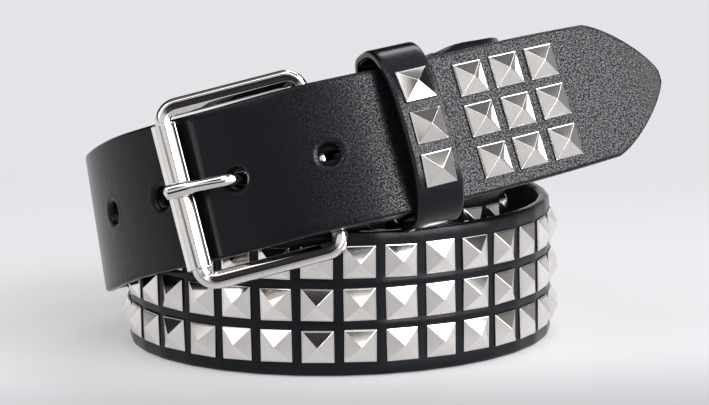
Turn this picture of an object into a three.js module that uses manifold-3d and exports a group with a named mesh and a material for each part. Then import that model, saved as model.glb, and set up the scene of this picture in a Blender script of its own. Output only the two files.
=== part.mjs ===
// A studded leather belt, buckled and coiled three times round, standing on its lower edge.
// Millimetres, +Z up. The buckle faces -Y. Turns are degrees anticlockwise from +X, seen from above.
import * as THREE from "three";
import { mergeVertices } from "three/addons/utils/BufferGeometryUtils.js";
import Module from "manifold-3d";

const wasm = await Module();
wasm.setup();

// Strap
const strapWidth = 38;
const strapThickness = 3;
const holeDiameter = 5.6;
const holePitch = 25;
const holeCount = 5;
const prongHoleIndex = 2; // the hole in use, counted from the point
const endToFirstHole = 75;
const pointLength = 19.5;
const pointTaper = 0.8; // how far each edge has come in where the point starts
const pointTaperLength = 36;
const noseWidth = 2.4;
const returnLength = 45; // the end that is folded back behind the strap
const returnCloseLength = 18; // where the folded end lies against the strap again
const plyGap = 0.6; // between layers of strap that lie on each other
const slotReach = 12;

// Studs
const studSide = 8.5;
const studPitch = 11;
const studRows = 3;
const studHeight = 2.7;
const studSkirt = 0.6;
const studSink = 0.5; // how deep a stud of the field is pressed in
const foldToStuds = 75;
const studsToLastHole = 62.3;
const tailStudColumns = 3;
const endToTailStuds = 35;
const seatGap = 0.3; // between a loose piece and what it sits on

// Coil
const coilRadius = 58.4; // outer face of the turn that stands in front
const turnGap = 2.8; // from a stud to the next turn's inner face
const heelTurn = -94.3; // where the strap is folded round the buckle's heel bar
const tailRise = 0.135; // climb of the straight tail for each millimetre along

// Buckle
const barWidth = 4;
const barDepth = 3.6;
const barClearance = 0.95; // inside the fold
const frameSideGap = 2.3; // beside the strap's edges
const frameDrop = 0.8; // how far the buckle hangs below the strap's middle
const frameCornerRadius = 4.3;
const heelToRoller = 36.7; // along the tail
const heelToProngHole = 22;
const rollerDiameter = 6.5;
const rollerWall = 0.85;
const rollerOverlap = 0.2; // past the strap's edges
const rollerSeat = 0.5;
const prongWidth = 3.2;
const prongDepth = 2.4;
const prongEyeWall = 1.5;
const prongClearance = 0.45;
const prongOverhang = 4;

// Keeper
const heelToKeeper = 26.4;
const keeperWidth = 12.8;
const keeperThickness = 2.3;
const keeperSideRoom = 2.5; // inside, above and below the strap's edges
const keeperLift = 0.6; // how far the loop stands above the strap's middle
const keeperFrontRoom = 6.5; // inside, over the tail's face, because the loop bulges
const keeperBackRoom = 1.8;
const keeperFrontPower = 2.4; // 2 is an ellipse, more is squarer
const keeperBackPower = 5;

// Fineness of the round shapes
const bendStep = 5.5;
const foldSteps = 8;
const pointSteps = 8;
const barSides = 8;
const cornerSteps = 5;
const rollerSides = 16;
const holeSides = 14;
const keeperSides = 40;
const prongSteps = 16;

const layerPitch = strapThickness + studHeight + turnGap;
const plyPitch = strapThickness + plyGap;
const fullTurns = 3 * 360;

// The strap's way round. layer: steps of layerPitch outside coilRadius. height: of the strap's middle,
// as a share of strapWidth. leanX, leanY: how far the upper edge leans for each unit up.
const coilRows = [
  { turn: -47, layer: -0.2, height: 1.745, leanX: -0.24, leanY: 0.26 },
  { turn: -33, layer: -0.46, height: 1.735, leanX: -0.22, leanY: 0.25 },
  { turn: 0, layer: -1.34, height: 1.57, leanX: -0.2, leanY: 0.24 },
  { turn: 90, layer: -1.55, height: 1.16, leanX: -0.12, leanY: 0.14 },
  { turn: 180, layer: -1.15, height: 0.93, leanX: -0.05, leanY: 0.05 },
  { turn: 270, layer: -0.99, height: 0.71, leanX: 0, leanY: 0 },
  { turn: 360, layer: -1.42, height: 0.58, leanX: 0, leanY: 0 },
  { turn: 450, layer: -0.75, height: 0.5, leanX: 0, leanY: 0 },
  { turn: 540, layer: 0, height: 0.5, leanX: 0, leanY: 0 },
  { turn: 630, layer: 0, height: 0.5, leanX: 0, leanY: 0 },
  { turn: 720, layer: 0, height: 0.5, leanX: 0, leanY: 0 },
  { turn: 810, layer: 0.48, height: 0.56, leanX: -0.05, leanY: 0.15 },
  { turn: 900, layer: 1.02, height: 0.826, leanX: -0.143, leanY: 0.267 },
  { turn: 938, layer: 0.96, height: 1.145, leanX: -0.22, leanY: 0.267 },
  { turn: 959, layer: 0.97, height: 1.321, leanX: -0.25, leanY: 0.267 },
  { turn: 988, layer: 0.78, height: 1.558, leanX: -0.25, leanY: 0.267 },
  { turn: 1019, layer: 0.49, height: 1.697, leanX: -0.25, leanY: 0.267 },
].map((row) => ({ ...row, plies: 0 }));

// The strap starts under its own tail, so its first rows are the tail's, one ply further in.
const startRows = coilRows
  .filter((row) => row.turn > 930)
  .map((row) => ({ ...row, turn: row.turn - fullTurns, plies: 1 }));
const routeRows = [...startRows, ...coilRows];
const lastTurn = coilRows.at(-1).turn;
const degree = Math.PI / 180;
const endSlopes = {
  layer: 0,
  height: (tailRise * coilRadius * degree) / strapWidth,
  leanX: 0,
  leanY: 0,
  plies: 0,
};

// Slope of a column at a row, flat at a peak or a level run so that the curve never overshoots.
function slopeAt(rows, index, column) {
  if (index === rows.length - 1) return endSlopes[column];
  const secant = (i) =>
    (rows[i + 1][column] - rows[i][column]) / (rows[i + 1].turn - rows[i].turn);
  if (index === 0) return secant(0);
  const before = secant(index - 1);
  const after = secant(index);
  return before * after <= 0 ? 0 : (2 * before * after) / (before + after);
}

// A column's value at any turn, by cubic pieces between the rows.
function columnAt(turn, column) {
  const rows = routeRows;
  if (turn >= lastTurn)
    return rows.at(-1)[column] + endSlopes[column] * (turn - lastTurn);
  let i = 0;
  while (rows[i + 1].turn <= turn) i += 1;
  const span = rows[i + 1].turn - rows[i].turn;
  const t = (turn - rows[i].turn) / span;
  const start = slopeAt(rows, i, column) * span;
  const end = slopeAt(rows, i + 1, column) * span;
  const rise = rows[i + 1][column] - rows[i][column];
  return (
    rows[i][column] +
    start * t +
    (3 * rise - 2 * start - end) * t * t +
    (start + end - 2 * rise) * t * t * t
  );
}

// Middle of the strap's outer face at a turn, before any plies under it are allowed for.
function coilPoint(turn) {
  const radius = coilRadius + columnAt(turn, "layer") * layerPitch;
  return new THREE.Vector3(
    radius * Math.cos(turn * degree),
    radius * Math.sin(turn * degree),
    columnAt(turn, "height") * strapWidth,
  );
}

// A station: a point of the outer face with the directions along the strap, up its width and out.
function stationOfTurn(turn) {
  const along = coilPoint(turn + 0.5).sub(coilPoint(turn - 0.5)).normalize();
  const up = new THREE.Vector3(columnAt(turn, "leanX"), columnAt(turn, "leanY"), 1);
  up.addScaledVector(along, -up.dot(along)).normalize();
  const out = along.clone().cross(up);
  const point = coilPoint(turn).addScaledVector(out, -columnAt(turn, "plies") * plyPitch);
  return { point, along, up, out };
}

// Lengths along the strap from the fold, one for each degree of the coil.
const turnSamples = [];
for (let turn = heelTurn, length = 0, last = null; turn <= lastTurn; turn += 1) {
  const { point } = stationOfTurn(turn);
  if (last) length += point.distanceTo(last);
  turnSamples.push({ turn, length });
  last = point;
}
const coilEnd = turnSamples.at(-1);

function lengthOfTurn(turn) {
  const i = Math.floor(turn - heelTurn);
  const next = turnSamples[Math.min(i + 1, turnSamples.length - 1)];
  const here = turnSamples[i];
  return here.length + (next.length - here.length) * (turn - here.turn);
}

// The station at a length from the fold. Past the coil the tail runs straight.
function stationAt(length) {
  if (length >= coilEnd.length) {
    const station = stationOfTurn(coilEnd.turn);
    station.point.addScaledVector(station.along, length - coilEnd.length);
    return station;
  }
  const i = Math.max(1, turnSamples.findIndex((sample) => sample.length > length));
  const [a, b] = [turnSamples[i - 1], turnSamples[i]];
  return stationOfTurn(a.turn + (length - a.length) / (b.length - a.length));
}

// A point beside a station: along the strap, out of its face and up its width.
function beside(station, along, out, up) {
  return station.point
    .clone()
    .addScaledVector(station.along, along)
    .addScaledVector(station.out, out)
    .addScaledVector(station.up, up);
}

// Places along the strap, as lengths from the fold
const tailHeel = lengthOfTurn(heelTurn + fullTurns);
const prongHole = tailHeel - heelToProngHole;
const firstHole = prongHole + prongHoleIndex * holePitch;
const strapLength = firstHole + endToFirstHole;
const holePlaces = Array.from({ length: holeCount }, (_, i) => firstHole - i * holePitch);
const lastStuds = holePlaces.at(-1) - studsToLastHole;
const studColumns = Math.floor((lastStuds - foldToStuds) / studPitch) + 1;
const studPlaces = Array.from({ length: studColumns }, (_, i) => lastStuds - i * studPitch).reverse();
const rowOffsets = Array.from({ length: studRows }, (_, i) => ((studRows - 1) / 2 - i) * studPitch);

// Half the strap's width at a length: full, then a slight taper, then the point.
function halfWidthAt(length) {
  const toEnd = strapLength - length;
  const taper = THREE.MathUtils.clamp(
    (pointLength + pointTaperLength - toEnd) / pointTaperLength, 0, 1,
  );
  const shoulder = strapWidth / 2 - pointTaper * taper * taper;
  if (toEnd >= pointLength) return shoulder;
  const share = 1 - toEnd / pointLength;
  return Math.max(noseWidth / 2, shoulder * (1 - share ** 1.3) ** 0.7);
}

// Meshes and solids
function geometryOf(vertices, triangles) {
  const geometry = new THREE.BufferGeometry();
  geometry.setAttribute("position", new THREE.Float32BufferAttribute(vertices, 3));
  geometry.setIndex(triangles);
  return geometry;
}

function solidOf(geometry) {
  const bare = geometry.clone();
  bare.deleteAttribute("normal");
  bare.deleteAttribute("uv");
  const merged = mergeVertices(bare, 1e-4);
  return new wasm.Manifold(
    new wasm.Mesh({
      numProp: 3,
      vertProperties: merged.attributes.position.array,
      triVerts: new Uint32Array(merged.index.array),
    }),
  );
}

function geometryOfSolid(solid) {
  const mesh = solid.getMesh();
  return geometryOf(Array.from(mesh.vertProperties), Array.from(mesh.triVerts));
}

// A closed body through rings of points, each ring anticlockwise seen along the way forward.
function loft(rings, closed = false) {
  const sides = rings[0].length;
  const vertices = rings.flat().flatMap((p) => [p.x, p.y, p.z]);
  const triangles = [];
  const spans = closed ? rings.length : rings.length - 1;
  for (let i = 0; i < spans; i += 1) {
    const next = (i + 1) % rings.length;
    for (let j = 0; j < sides; j += 1) {
      const k = (j + 1) % sides;
      const [a, b] = [i * sides + j, i * sides + k];
      const [c, d] = [next * sides + j, next * sides + k];
      triangles.push(a, c, b, b, c, d);
    }
  }
  if (!closed) {
    const end = (rings.length - 1) * sides;
    for (let j = 1; j < sides - 1; j += 1)
      triangles.push(0, j, j + 1, end, end + j + 1, end + j);
  }
  return geometryOf(vertices, triangles);
}

// A matrix that stands a shape on a station: its x along the strap, y up the width, z out of the face.
function seat(station, out = 0, up = 0) {
  return new THREE.Matrix4()
    .makeBasis(station.along, station.up, station.out)
    .setPosition(beside(station, 0, out, up));
}

// The strap's four corners at a station.
function strapRing(station, halfWidth) {
  return [
    beside(station, 0, 0, -halfWidth),
    beside(station, 0, 0, halfWidth),
    beside(station, 0, -strapThickness, halfWidth),
    beside(station, 0, -strapThickness, -halfWidth),
  ];
}

// Fold round the heel bar
const foldStart = stationAt(0);
const foldRadius = barWidth / 2 + barClearance + strapThickness / 2;
const heelCentre = beside(foldStart, 0, -strapThickness / 2 - foldRadius, 0);

// The folded end lies behind the strap: wide of it at the bar, then against it.
function returnStation(length) {
  const share = THREE.MathUtils.clamp(length / returnCloseLength, 0, 1);
  const spread = (1 + Math.cos(Math.PI * share)) / 2;
  const depth = plyPitch + (2 * foldRadius - plyPitch) * spread;
  const front = stationAt(length);
  return {
    point: beside(front, 0, -strapThickness - depth, 0),
    along: front.along.clone().negate(),
    up: front.up,
    out: front.out.clone().negate(),
  };
}

function foldRing(angle) {
  const out = foldStart.out.clone().multiplyScalar(Math.cos(angle));
  out.addScaledVector(foldStart.along, -Math.sin(angle));
  const point = heelCentre.clone().addScaledVector(out, foldRadius + strapThickness / 2);
  return strapRing({ ...foldStart, point, out }, strapWidth / 2);
}

function evenSteps(from, to, step) {
  const count = Math.max(1, Math.ceil((to - from) / step));
  return Array.from({ length: count }, (_, i) => from + ((to - from) * i) / count);
}

function buildStrap() {
  const returnRings = evenSteps(0, returnLength, bendStep)
    .concat(returnLength)
    .reverse()
    .map((length) => strapRing(returnStation(length), strapWidth / 2));
  const foldRings = evenSteps(0, Math.PI, Math.PI / foldSteps)
    .slice(1)
    .reverse()
    .map(foldRing);
  const fieldStart = studPlaces[0] - studPitch / 2;
  const fieldEnd = studPlaces.at(-1) + studPitch / 2;
  const shoulder = strapLength - pointLength;
  const lengths = [
    ...evenSteps(0, fieldStart, bendStep),
    ...evenSteps(fieldStart, fieldEnd, studPitch * 1.001),
    ...evenSteps(fieldEnd, shoulder, bendStep),
    ...evenSteps(shoulder, strapLength, pointLength / pointSteps),
    strapLength,
  ];
  const mainRings = lengths.map((length) => strapRing(stationAt(length), halfWidthAt(length)));
  let strap = solidOf(loft([...returnRings, ...foldRings, ...mainRings]));
  for (const place of holePlaces) {
    const drill = new THREE.CylinderGeometry(
      holeDiameter / 2, holeDiameter / 2, strapThickness + plyGap, holeSides,
    );
    drill.rotateX(Math.PI / 2);
    drill.applyMatrix4(seat(stationAt(place), -strapThickness / 2));
    strap = strap.subtract(solidOf(drill));
  }
  strap = strap.subtract(solidOf(prongSlot()));
  for (const place of studPlaces)
    for (const row of rowOffsets)
      strap = strap.add(solidOf(fieldStud(place, row)));
  return geometryOfSolid(strap);
}

// The slot through both plies and the fold, which lets the prong out.
function prongSlot() {
  const plies = 2 * foldRadius + strapThickness + plyGap;
  const length = slotReach + foldRadius + strapThickness;
  const slot = new THREE.BoxGeometry(length, prongWidth + 2 * prongClearance, plies);
  slot.translate(slotReach - length / 2, 0, plyGap / 2 - plies / 2);
  slot.applyMatrix4(seat(foldStart));
  return slot;
}

// A square stud: a low skirt under a pyramid. Its face plane is at z = 0, and it reaches down by sink.
function studGeometry(sink) {
  const half = studSide / 2;
  const corners = [[-half, -half], [half, -half], [half, half], [-half, half]];
  const ring = (z) => corners.map(([x, y]) => new THREE.Vector3(x, y, z));
  const vertices = [...ring(-sink), ...ring(studSkirt), new THREE.Vector3(0, 0, studHeight)];
  const triangles = [0, 2, 1, 0, 3, 2];
  for (let j = 0; j < 4; j += 1) {
    const k = (j + 1) % 4;
    triangles.push(j, k, 4 + j, 4 + j, k, 4 + k, 4 + j, 4 + k, 8);
  }
  return geometryOf(vertices.flatMap((p) => [p.x, p.y, p.z]), triangles);
}

// The strap is flat under each stud of the field, so a stud stands on the chord, not on the curve.
function fieldStud(place, row) {
  const [before, after] = [stationAt(place - studPitch / 2), stationAt(place + studPitch / 2)];
  const here = stationAt(place);
  const along = after.point.clone().sub(before.point).normalize();
  const up = here.up.clone().addScaledVector(along, -here.up.dot(along)).normalize();
  const point = before.point.clone().add(after.point).multiplyScalar(0.5);
  const chord = { point, along, up, out: along.clone().cross(up) };
  return studGeometry(studSink).applyMatrix4(seat(chord, 0, row));
}

// Buckle: both bars lie flat on the strap, the heel bar in the fold and the front bar in the roller.
const rollerStation = stationAt(tailHeel - heelToRoller);
const rollerCentre = beside(rollerStation, 0, rollerSeat + rollerDiameter / 2, 0);
const frameUp = foldStart.out.clone().cross(rollerStation.out).normalize();
if (frameUp.z < 0) frameUp.negate();
const heelToFront = rollerCentre.clone().sub(heelCentre);
const sideSlip = heelToFront.dot(frameUp);
const frameReach = heelToFront.clone().addScaledVector(frameUp, -sideSlip).length();
const frameAcross = heelToFront.clone().addScaledVector(frameUp, -sideSlip).normalize();
const frameFace = frameUp.clone().cross(frameAcross);
if (frameFace.y > 0) frameFace.negate();
const frameCentre = heelCentre.clone().add(rollerCentre).multiplyScalar(0.5);
frameCentre.addScaledVector(frameUp, -frameDrop);
const frameHalfUp = strapWidth / 2 + frameSideGap + barWidth / 2;

// A point in the frame's own plane: across from its centre to the roller, up the bars, out of the face.
function framePoint(across, up, face = 0) {
  return frameCentre
    .clone()
    .addScaledVector(frameAcross, across)
    .addScaledVector(frameUp, up)
    .addScaledVector(frameFace, face);
}

// The frame's middle line, a rectangle with round corners.
function frameStops(halfAcross, halfUp) {
  const stops = [];
  const corners = [[1, 1, 0], [-1, 1, 90], [-1, -1, 180], [1, -1, 270]];
  for (const [signX, signY, start] of corners)
    for (let i = 0; i <= cornerSteps; i += 1) {
      const angle = (start + (90 * i) / cornerSteps) * degree;
      const [x, y] = [Math.cos(angle), Math.sin(angle)];
      stops.push({
        x: signX * (halfAcross - frameCornerRadius) + frameCornerRadius * x,
        y: signY * (halfUp - frameCornerRadius) + frameCornerRadius * y,
        outward: [x, y],
      });
    }
  return stops;
}

// A bar's ring of points, round the way that its two directions give.
function barRing(centre, side, face, sideHalf, faceHalf) {
  return Array.from({ length: barSides }, (_, i) => {
    const angle = ((i + 0.5) / barSides) * 2 * Math.PI;
    return centre
      .clone()
      .addScaledVector(side, sideHalf * Math.cos(angle))
      .addScaledVector(face, faceHalf * Math.sin(angle));
  });
}

function buildFrame() {
  const stops = frameStops(frameReach / 2, frameHalfUp);
  const rings = stops.map(({ x, y, outward }) => {
    const side = frameAcross.clone().multiplyScalar(outward[0]).addScaledVector(frameUp, outward[1]);
    return barRing(framePoint(x, y), side, frameFace, barWidth / 2, barDepth / 2);
  });
  return facingOut(loft(rings, true));
}

// The same body with its faces turned round if they point in.
function facingOut(geometry) {
  if (solidOf(geometry).volume() > 0) return geometry;
  const index = geometry.index.array;
  for (let i = 0; i < index.length; i += 3) [index[i + 1], index[i + 2]] = [index[i + 2], index[i + 1]];
  return geometry;
}

function buildRoller() {
  const [inner, outer] = [rollerDiameter / 2 - rollerWall, rollerDiameter / 2];
  const half = strapWidth / 2 + rollerOverlap;
  const profile = [[inner, -half], [outer, -half], [outer, half], [inner, half], [inner, -half]];
  return new THREE.LatheGeometry(profile.map(([x, y]) => new THREE.Vector2(x, y)), rollerSides);
}

// The prong: an eye on the heel bar, up through the tail's hole and over the roller.
function buildProng() {
  const hole = stationAt(prongHole);
  const half = prongDepth / 2;
  const eyeInner = barWidth / 2 + prongClearance;
  const eyeOuter = eyeInner + prongEyeWall;
  const overRoller = rollerDiameter / 2 + seatGap + half;
  const way = new THREE.CatmullRomCurve3(
    [
      heelCentre.clone().addScaledVector(frameAcross, (eyeInner + eyeOuter) / 2),
      heelCentre.clone().addScaledVector(frameAcross, eyeOuter + 4).addScaledVector(frameFace, -half / 3),
      beside(hole, holeDiameter * 0.3, -strapThickness - half - 2 * seatGap, 0),
      beside(hole, 0, -strapThickness / 2, 0),
      beside(hole, -holeDiameter * 0.3, half + 3 * seatGap, 0),
      rollerCentre.clone().addScaledVector(frameFace, overRoller),
      rollerCentre
        .clone()
        .addScaledVector(frameFace, overRoller - seatGap)
        .addScaledVector(frameAcross, prongOverhang),
    ],
    false,
    "centripetal",
  );
  const rings = Array.from({ length: prongSteps + 1 }, (_, i) => {
    const share = i / prongSteps;
    const face = frameUp.clone().cross(way.getTangentAt(share)).normalize();
    return barRing(way.getPointAt(share), frameUp, face, prongWidth / 2, half);
  });
  const eye = new THREE.LatheGeometry(
    [[eyeInner, -1], [eyeOuter, -1], [eyeOuter, 1], [eyeInner, 1], [eyeInner, -1]].map(
      ([x, y]) => new THREE.Vector2(x, (y * prongWidth) / 2),
    ),
    rollerSides,
  );
  eye.applyMatrix4(barMatrix(heelCentre));
  return geometryOfSolid(solidOf(facingOut(loft(rings))).add(solidOf(eye)));
}

// A lathe's y axis along the buckle's bars.
function barMatrix(centre) {
  return new THREE.Matrix4()
    .makeBasis(frameAcross, frameUp, frameAcross.clone().cross(frameUp))
    .setPosition(centre);
}

// Keeper: a squarish loop round the tail and both plies behind it.
const keeperStation = stationAt(tailHeel + heelToKeeper);
const plyStack = strapThickness + 2 * plyPitch;
const keeperHalfUp = strapWidth / 2 + keeperSideRoom;

// The loop's outline round the stack of plies, at a distance outside its inner face: a bowed front
// half and a squarer back half.
function keeperOutline(angle, offset) {
  const front = Math.cos(angle) >= 0;
  const power = 2 / (front ? keeperFrontPower : keeperBackPower);
  const halfDepth = plyStack / 2 + (front ? keeperFrontRoom : keeperBackRoom) + offset;
  return {
    out: halfDepth * Math.sign(Math.cos(angle)) * Math.abs(Math.cos(angle)) ** power - plyStack / 2,
    up:
      keeperLift +
      (keeperHalfUp + offset) * Math.sign(Math.sin(angle)) * Math.abs(Math.sin(angle)) ** power,
  };
}

function buildKeeper() {
  const corners = [[-1, 0], [-1, keeperThickness], [1, keeperThickness], [1, 0]];
  const rings = Array.from({ length: keeperSides }, (_, i) => {
    const angle = (i / keeperSides) * 2 * Math.PI;
    return corners.map(([end, offset]) => {
      const { out, up } = keeperOutline(angle, offset);
      return beside(keeperStation, (end * keeperWidth) / 2, out, up);
    });
  });
  return facingOut(loft(rings, true));
}

// A stud's place on the keeper's bowed front.
function keeperStudMatrix(row) {
  const angleOf = (up) => {
    const share = (up - keeperLift) / (keeperHalfUp + keeperThickness);
    return Math.sign(share) * Math.asin(Math.abs(share) ** (keeperFrontPower / 2));
  };
  const [low, high] = [row - studSide / 2, row + studSide / 2].map((up) =>
    keeperOutline(angleOf(up), keeperThickness),
  );
  const up = new THREE.Vector3(0, high.up - low.up, high.out - low.out).normalize();
  const out = new THREE.Vector3(1, 0, 0).cross(up);
  const middle = keeperOutline(angleOf(row), keeperThickness);
  const tilt = new THREE.Matrix4()
    .makeBasis(new THREE.Vector3(1, 0, 0), up, out)
    .setPosition(0, middle.up, middle.out + seatGap);
  return seat(keeperStation).multiply(tilt);
}

// Materials
const leather = new THREE.MeshStandardMaterial({ color: 0x17171a, roughness: 0.5, metalness: 0 });
const nickel = new THREE.MeshStandardMaterial({ color: 0xcfccc6, roughness: 0.2, metalness: 1 });

// Assembly
const belt = new THREE.Group();

function addPiece(name, geometry, material, matrix = null) {
  const mesh = new THREE.Mesh(geometry, material);
  mesh.name = name;
  if (matrix) matrix.decompose(mesh.position, mesh.quaternion, mesh.scale);
  belt.add(mesh);
}

addPiece("strap", buildStrap(), leather);
addPiece("buckle_frame", buildFrame(), nickel);
addPiece("buckle_roller", buildRoller(), nickel, barMatrix(framePoint(frameReach / 2, 0)));
addPiece("buckle_prong", buildProng(), nickel);
addPiece("keeper_loop", buildKeeper(), leather);
rowOffsets.forEach((row, i) => {
  addPiece(`keeper_stud_${i + 1}`, studGeometry(0), nickel, keeperStudMatrix(keeperLift + row));
});
for (let column = 0; column < tailStudColumns; column += 1) {
  const place = stationAt(strapLength - endToTailStuds - (tailStudColumns - 1 - column) * studPitch);
  rowOffsets.forEach((row, i) => {
    addPiece(`tail_stud_${column + 1}_${i + 1}`, studGeometry(0), nickel, seat(place, seatGap, row));
  });
}

// The part's origin is the middle of its base.
const box = new THREE.Box3().setFromObject(belt, true);
const middle = box.getCenter(new THREE.Vector3());
belt.position.set(-middle.x, -middle.y, -box.min.z);

export default belt;
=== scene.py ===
"""The looks of a studded leather belt, buckled and coiled three times round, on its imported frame.

Sizes are millimetres until a mesh is handed to Blender, which works in metres. The buckle faces -Y.
"""

from __future__ import annotations

import logging
import math
import random
from bisect import bisect_right
from dataclasses import dataclass, field
from enum import Enum
from typing import Callable, Sequence

import bmesh
import bpy
from mathutils import Matrix, Vector

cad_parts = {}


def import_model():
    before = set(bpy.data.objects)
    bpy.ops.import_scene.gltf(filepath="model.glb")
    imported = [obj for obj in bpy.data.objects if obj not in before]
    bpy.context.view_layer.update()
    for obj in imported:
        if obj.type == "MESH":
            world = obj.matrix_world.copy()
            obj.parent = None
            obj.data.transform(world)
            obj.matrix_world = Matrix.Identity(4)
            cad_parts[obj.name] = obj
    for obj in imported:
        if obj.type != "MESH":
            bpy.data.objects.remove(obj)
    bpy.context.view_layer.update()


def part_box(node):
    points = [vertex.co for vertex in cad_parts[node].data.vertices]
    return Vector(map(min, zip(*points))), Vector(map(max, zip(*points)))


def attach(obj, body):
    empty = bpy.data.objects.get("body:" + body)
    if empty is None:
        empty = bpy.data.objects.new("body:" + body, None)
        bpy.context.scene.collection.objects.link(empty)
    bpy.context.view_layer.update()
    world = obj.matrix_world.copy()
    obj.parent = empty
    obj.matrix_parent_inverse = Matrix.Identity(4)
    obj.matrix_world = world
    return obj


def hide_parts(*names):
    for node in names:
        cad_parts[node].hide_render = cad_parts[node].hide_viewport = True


LOG = logging.getLogger("studded_belt")
MM = 0.001
UV_CM = 0.1  # a UV unit is a centimetre of leather
WELD = 1e-7  # metres within which points are one
TINY = 1e-6  # millimetres under which a distance counts as none
SEED = 7  # of the draws that set the studs askew
FLOW = "flow"  # the UV map that follows the leather
MARKS = ("grain", "edge", "lining", "wrinkle")  # the numbers that the leather's finish reads
SOFT_WHITE = (0.985, 0.985, 1.0, 1.0)
Span = tuple[float, float]
Triple = tuple[float, float, float]
Colour = Triple | bpy.types.NodeSocket


class Body(Enum):
    """The bodies that pieces ride on."""

    BELT = "belt"
    ROLLER = "roller"


class Slot(Enum):
    """The record's material slots."""

    STRAP = "strap_leather"
    KEEPER = "keeper_leather"
    BUCKLE = "buckle_nickel"
    STUD = "stud_nickel"


def clamp(value: float, low: float = 0.0, high: float = 1.0) -> float:
    """Returns the value, kept between low and high."""
    return max(low, min(high, value))


def smoothstep(low: float, high: float, value: float) -> float:
    """Returns 0 below low, 1 above high and an easy rise between."""
    t = clamp((value - low) / (high - low))
    return t * t * (3 - 2 * t)


def bell(value: float, centre: float, width: float) -> float:
    """Returns a bump of height 1 at centre that fades over width."""
    return math.exp(-(((value - centre) / width) ** 2))


def signed_power(value: float, power: float) -> float:
    """Returns the value's size raised to a power, with the value's own sign."""
    return math.copysign(abs(value) ** power, value)


def even_steps(start: float, end: float, step: float) -> list[float]:
    """Returns evenly spaced places from start, up to but not at end, no further apart than step."""
    count = max(1, math.ceil((end - start) / step))
    return [start + (end - start) * i / count for i in range(count)]


# The strap's way round


@dataclass(frozen=True)
class Station:
    """A point of the strap's outer face, with the directions along it, up its width and out of it."""

    point: Vector
    along: Vector
    up: Vector
    out: Vector

    def beside(self, along: float = 0.0, out: float = 0.0, up: float = 0.0) -> Vector:
        """Returns the point that lies beside the station by these distances."""
        return self.point + self.along * along + self.out * out + self.up * up

    def seat(self, up: float = 0.0) -> Matrix:
        """Returns a matrix with x along the strap, y up its width and z out of its face.

        Args:
            up: how far up the strap's width the seat lies.

        Returns:
            The seat's matrix, in millimetres.
        """
        place = self.beside(up=up)
        rows = [(self.along[i], self.up[i], self.out[i], place[i]) for i in range(3)]
        return Matrix([*rows, (0, 0, 0, 1)])


@dataclass(frozen=True)
class RouteRow:
    """Where the coil is at a turn in degrees.

    layer counts steps outside the coil's radius, height is a share of the strap's width, lean_x and
    lean_y say how far the upper edge leans, and plies how many layers of strap lie over this one.
    """

    turn: float
    layer: float
    height: float
    lean_x: float
    lean_y: float
    plies: float = 0.0


COIL_ROWS = (
    RouteRow(-47, -0.2, 1.745, -0.24, 0.26),
    RouteRow(-33, -0.46, 1.735, -0.22, 0.25),
    RouteRow(0, -1.34, 1.57, -0.2, 0.24),
    RouteRow(90, -1.55, 1.16, -0.12, 0.14),
    RouteRow(180, -1.15, 0.93, -0.05, 0.05),
    RouteRow(270, -0.99, 0.71, 0, 0),
    RouteRow(360, -1.42, 0.58, 0, 0),
    RouteRow(450, -0.75, 0.5, 0, 0),
    RouteRow(540, 0, 0.5, 0, 0),
    RouteRow(630, 0, 0.5, 0, 0),
    RouteRow(720, 0, 0.5, 0, 0),
    RouteRow(810, 0.48, 0.56, -0.05, 0.15),
    RouteRow(900, 1.02, 0.826, -0.143, 0.267),
    RouteRow(938, 0.96, 1.145, -0.22, 0.267),
    RouteRow(959, 0.97, 1.321, -0.25, 0.267),
    RouteRow(988, 0.78, 1.558, -0.25, 0.267),
    RouteRow(1019, 0.49, 1.697, -0.25, 0.267),
)


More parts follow.
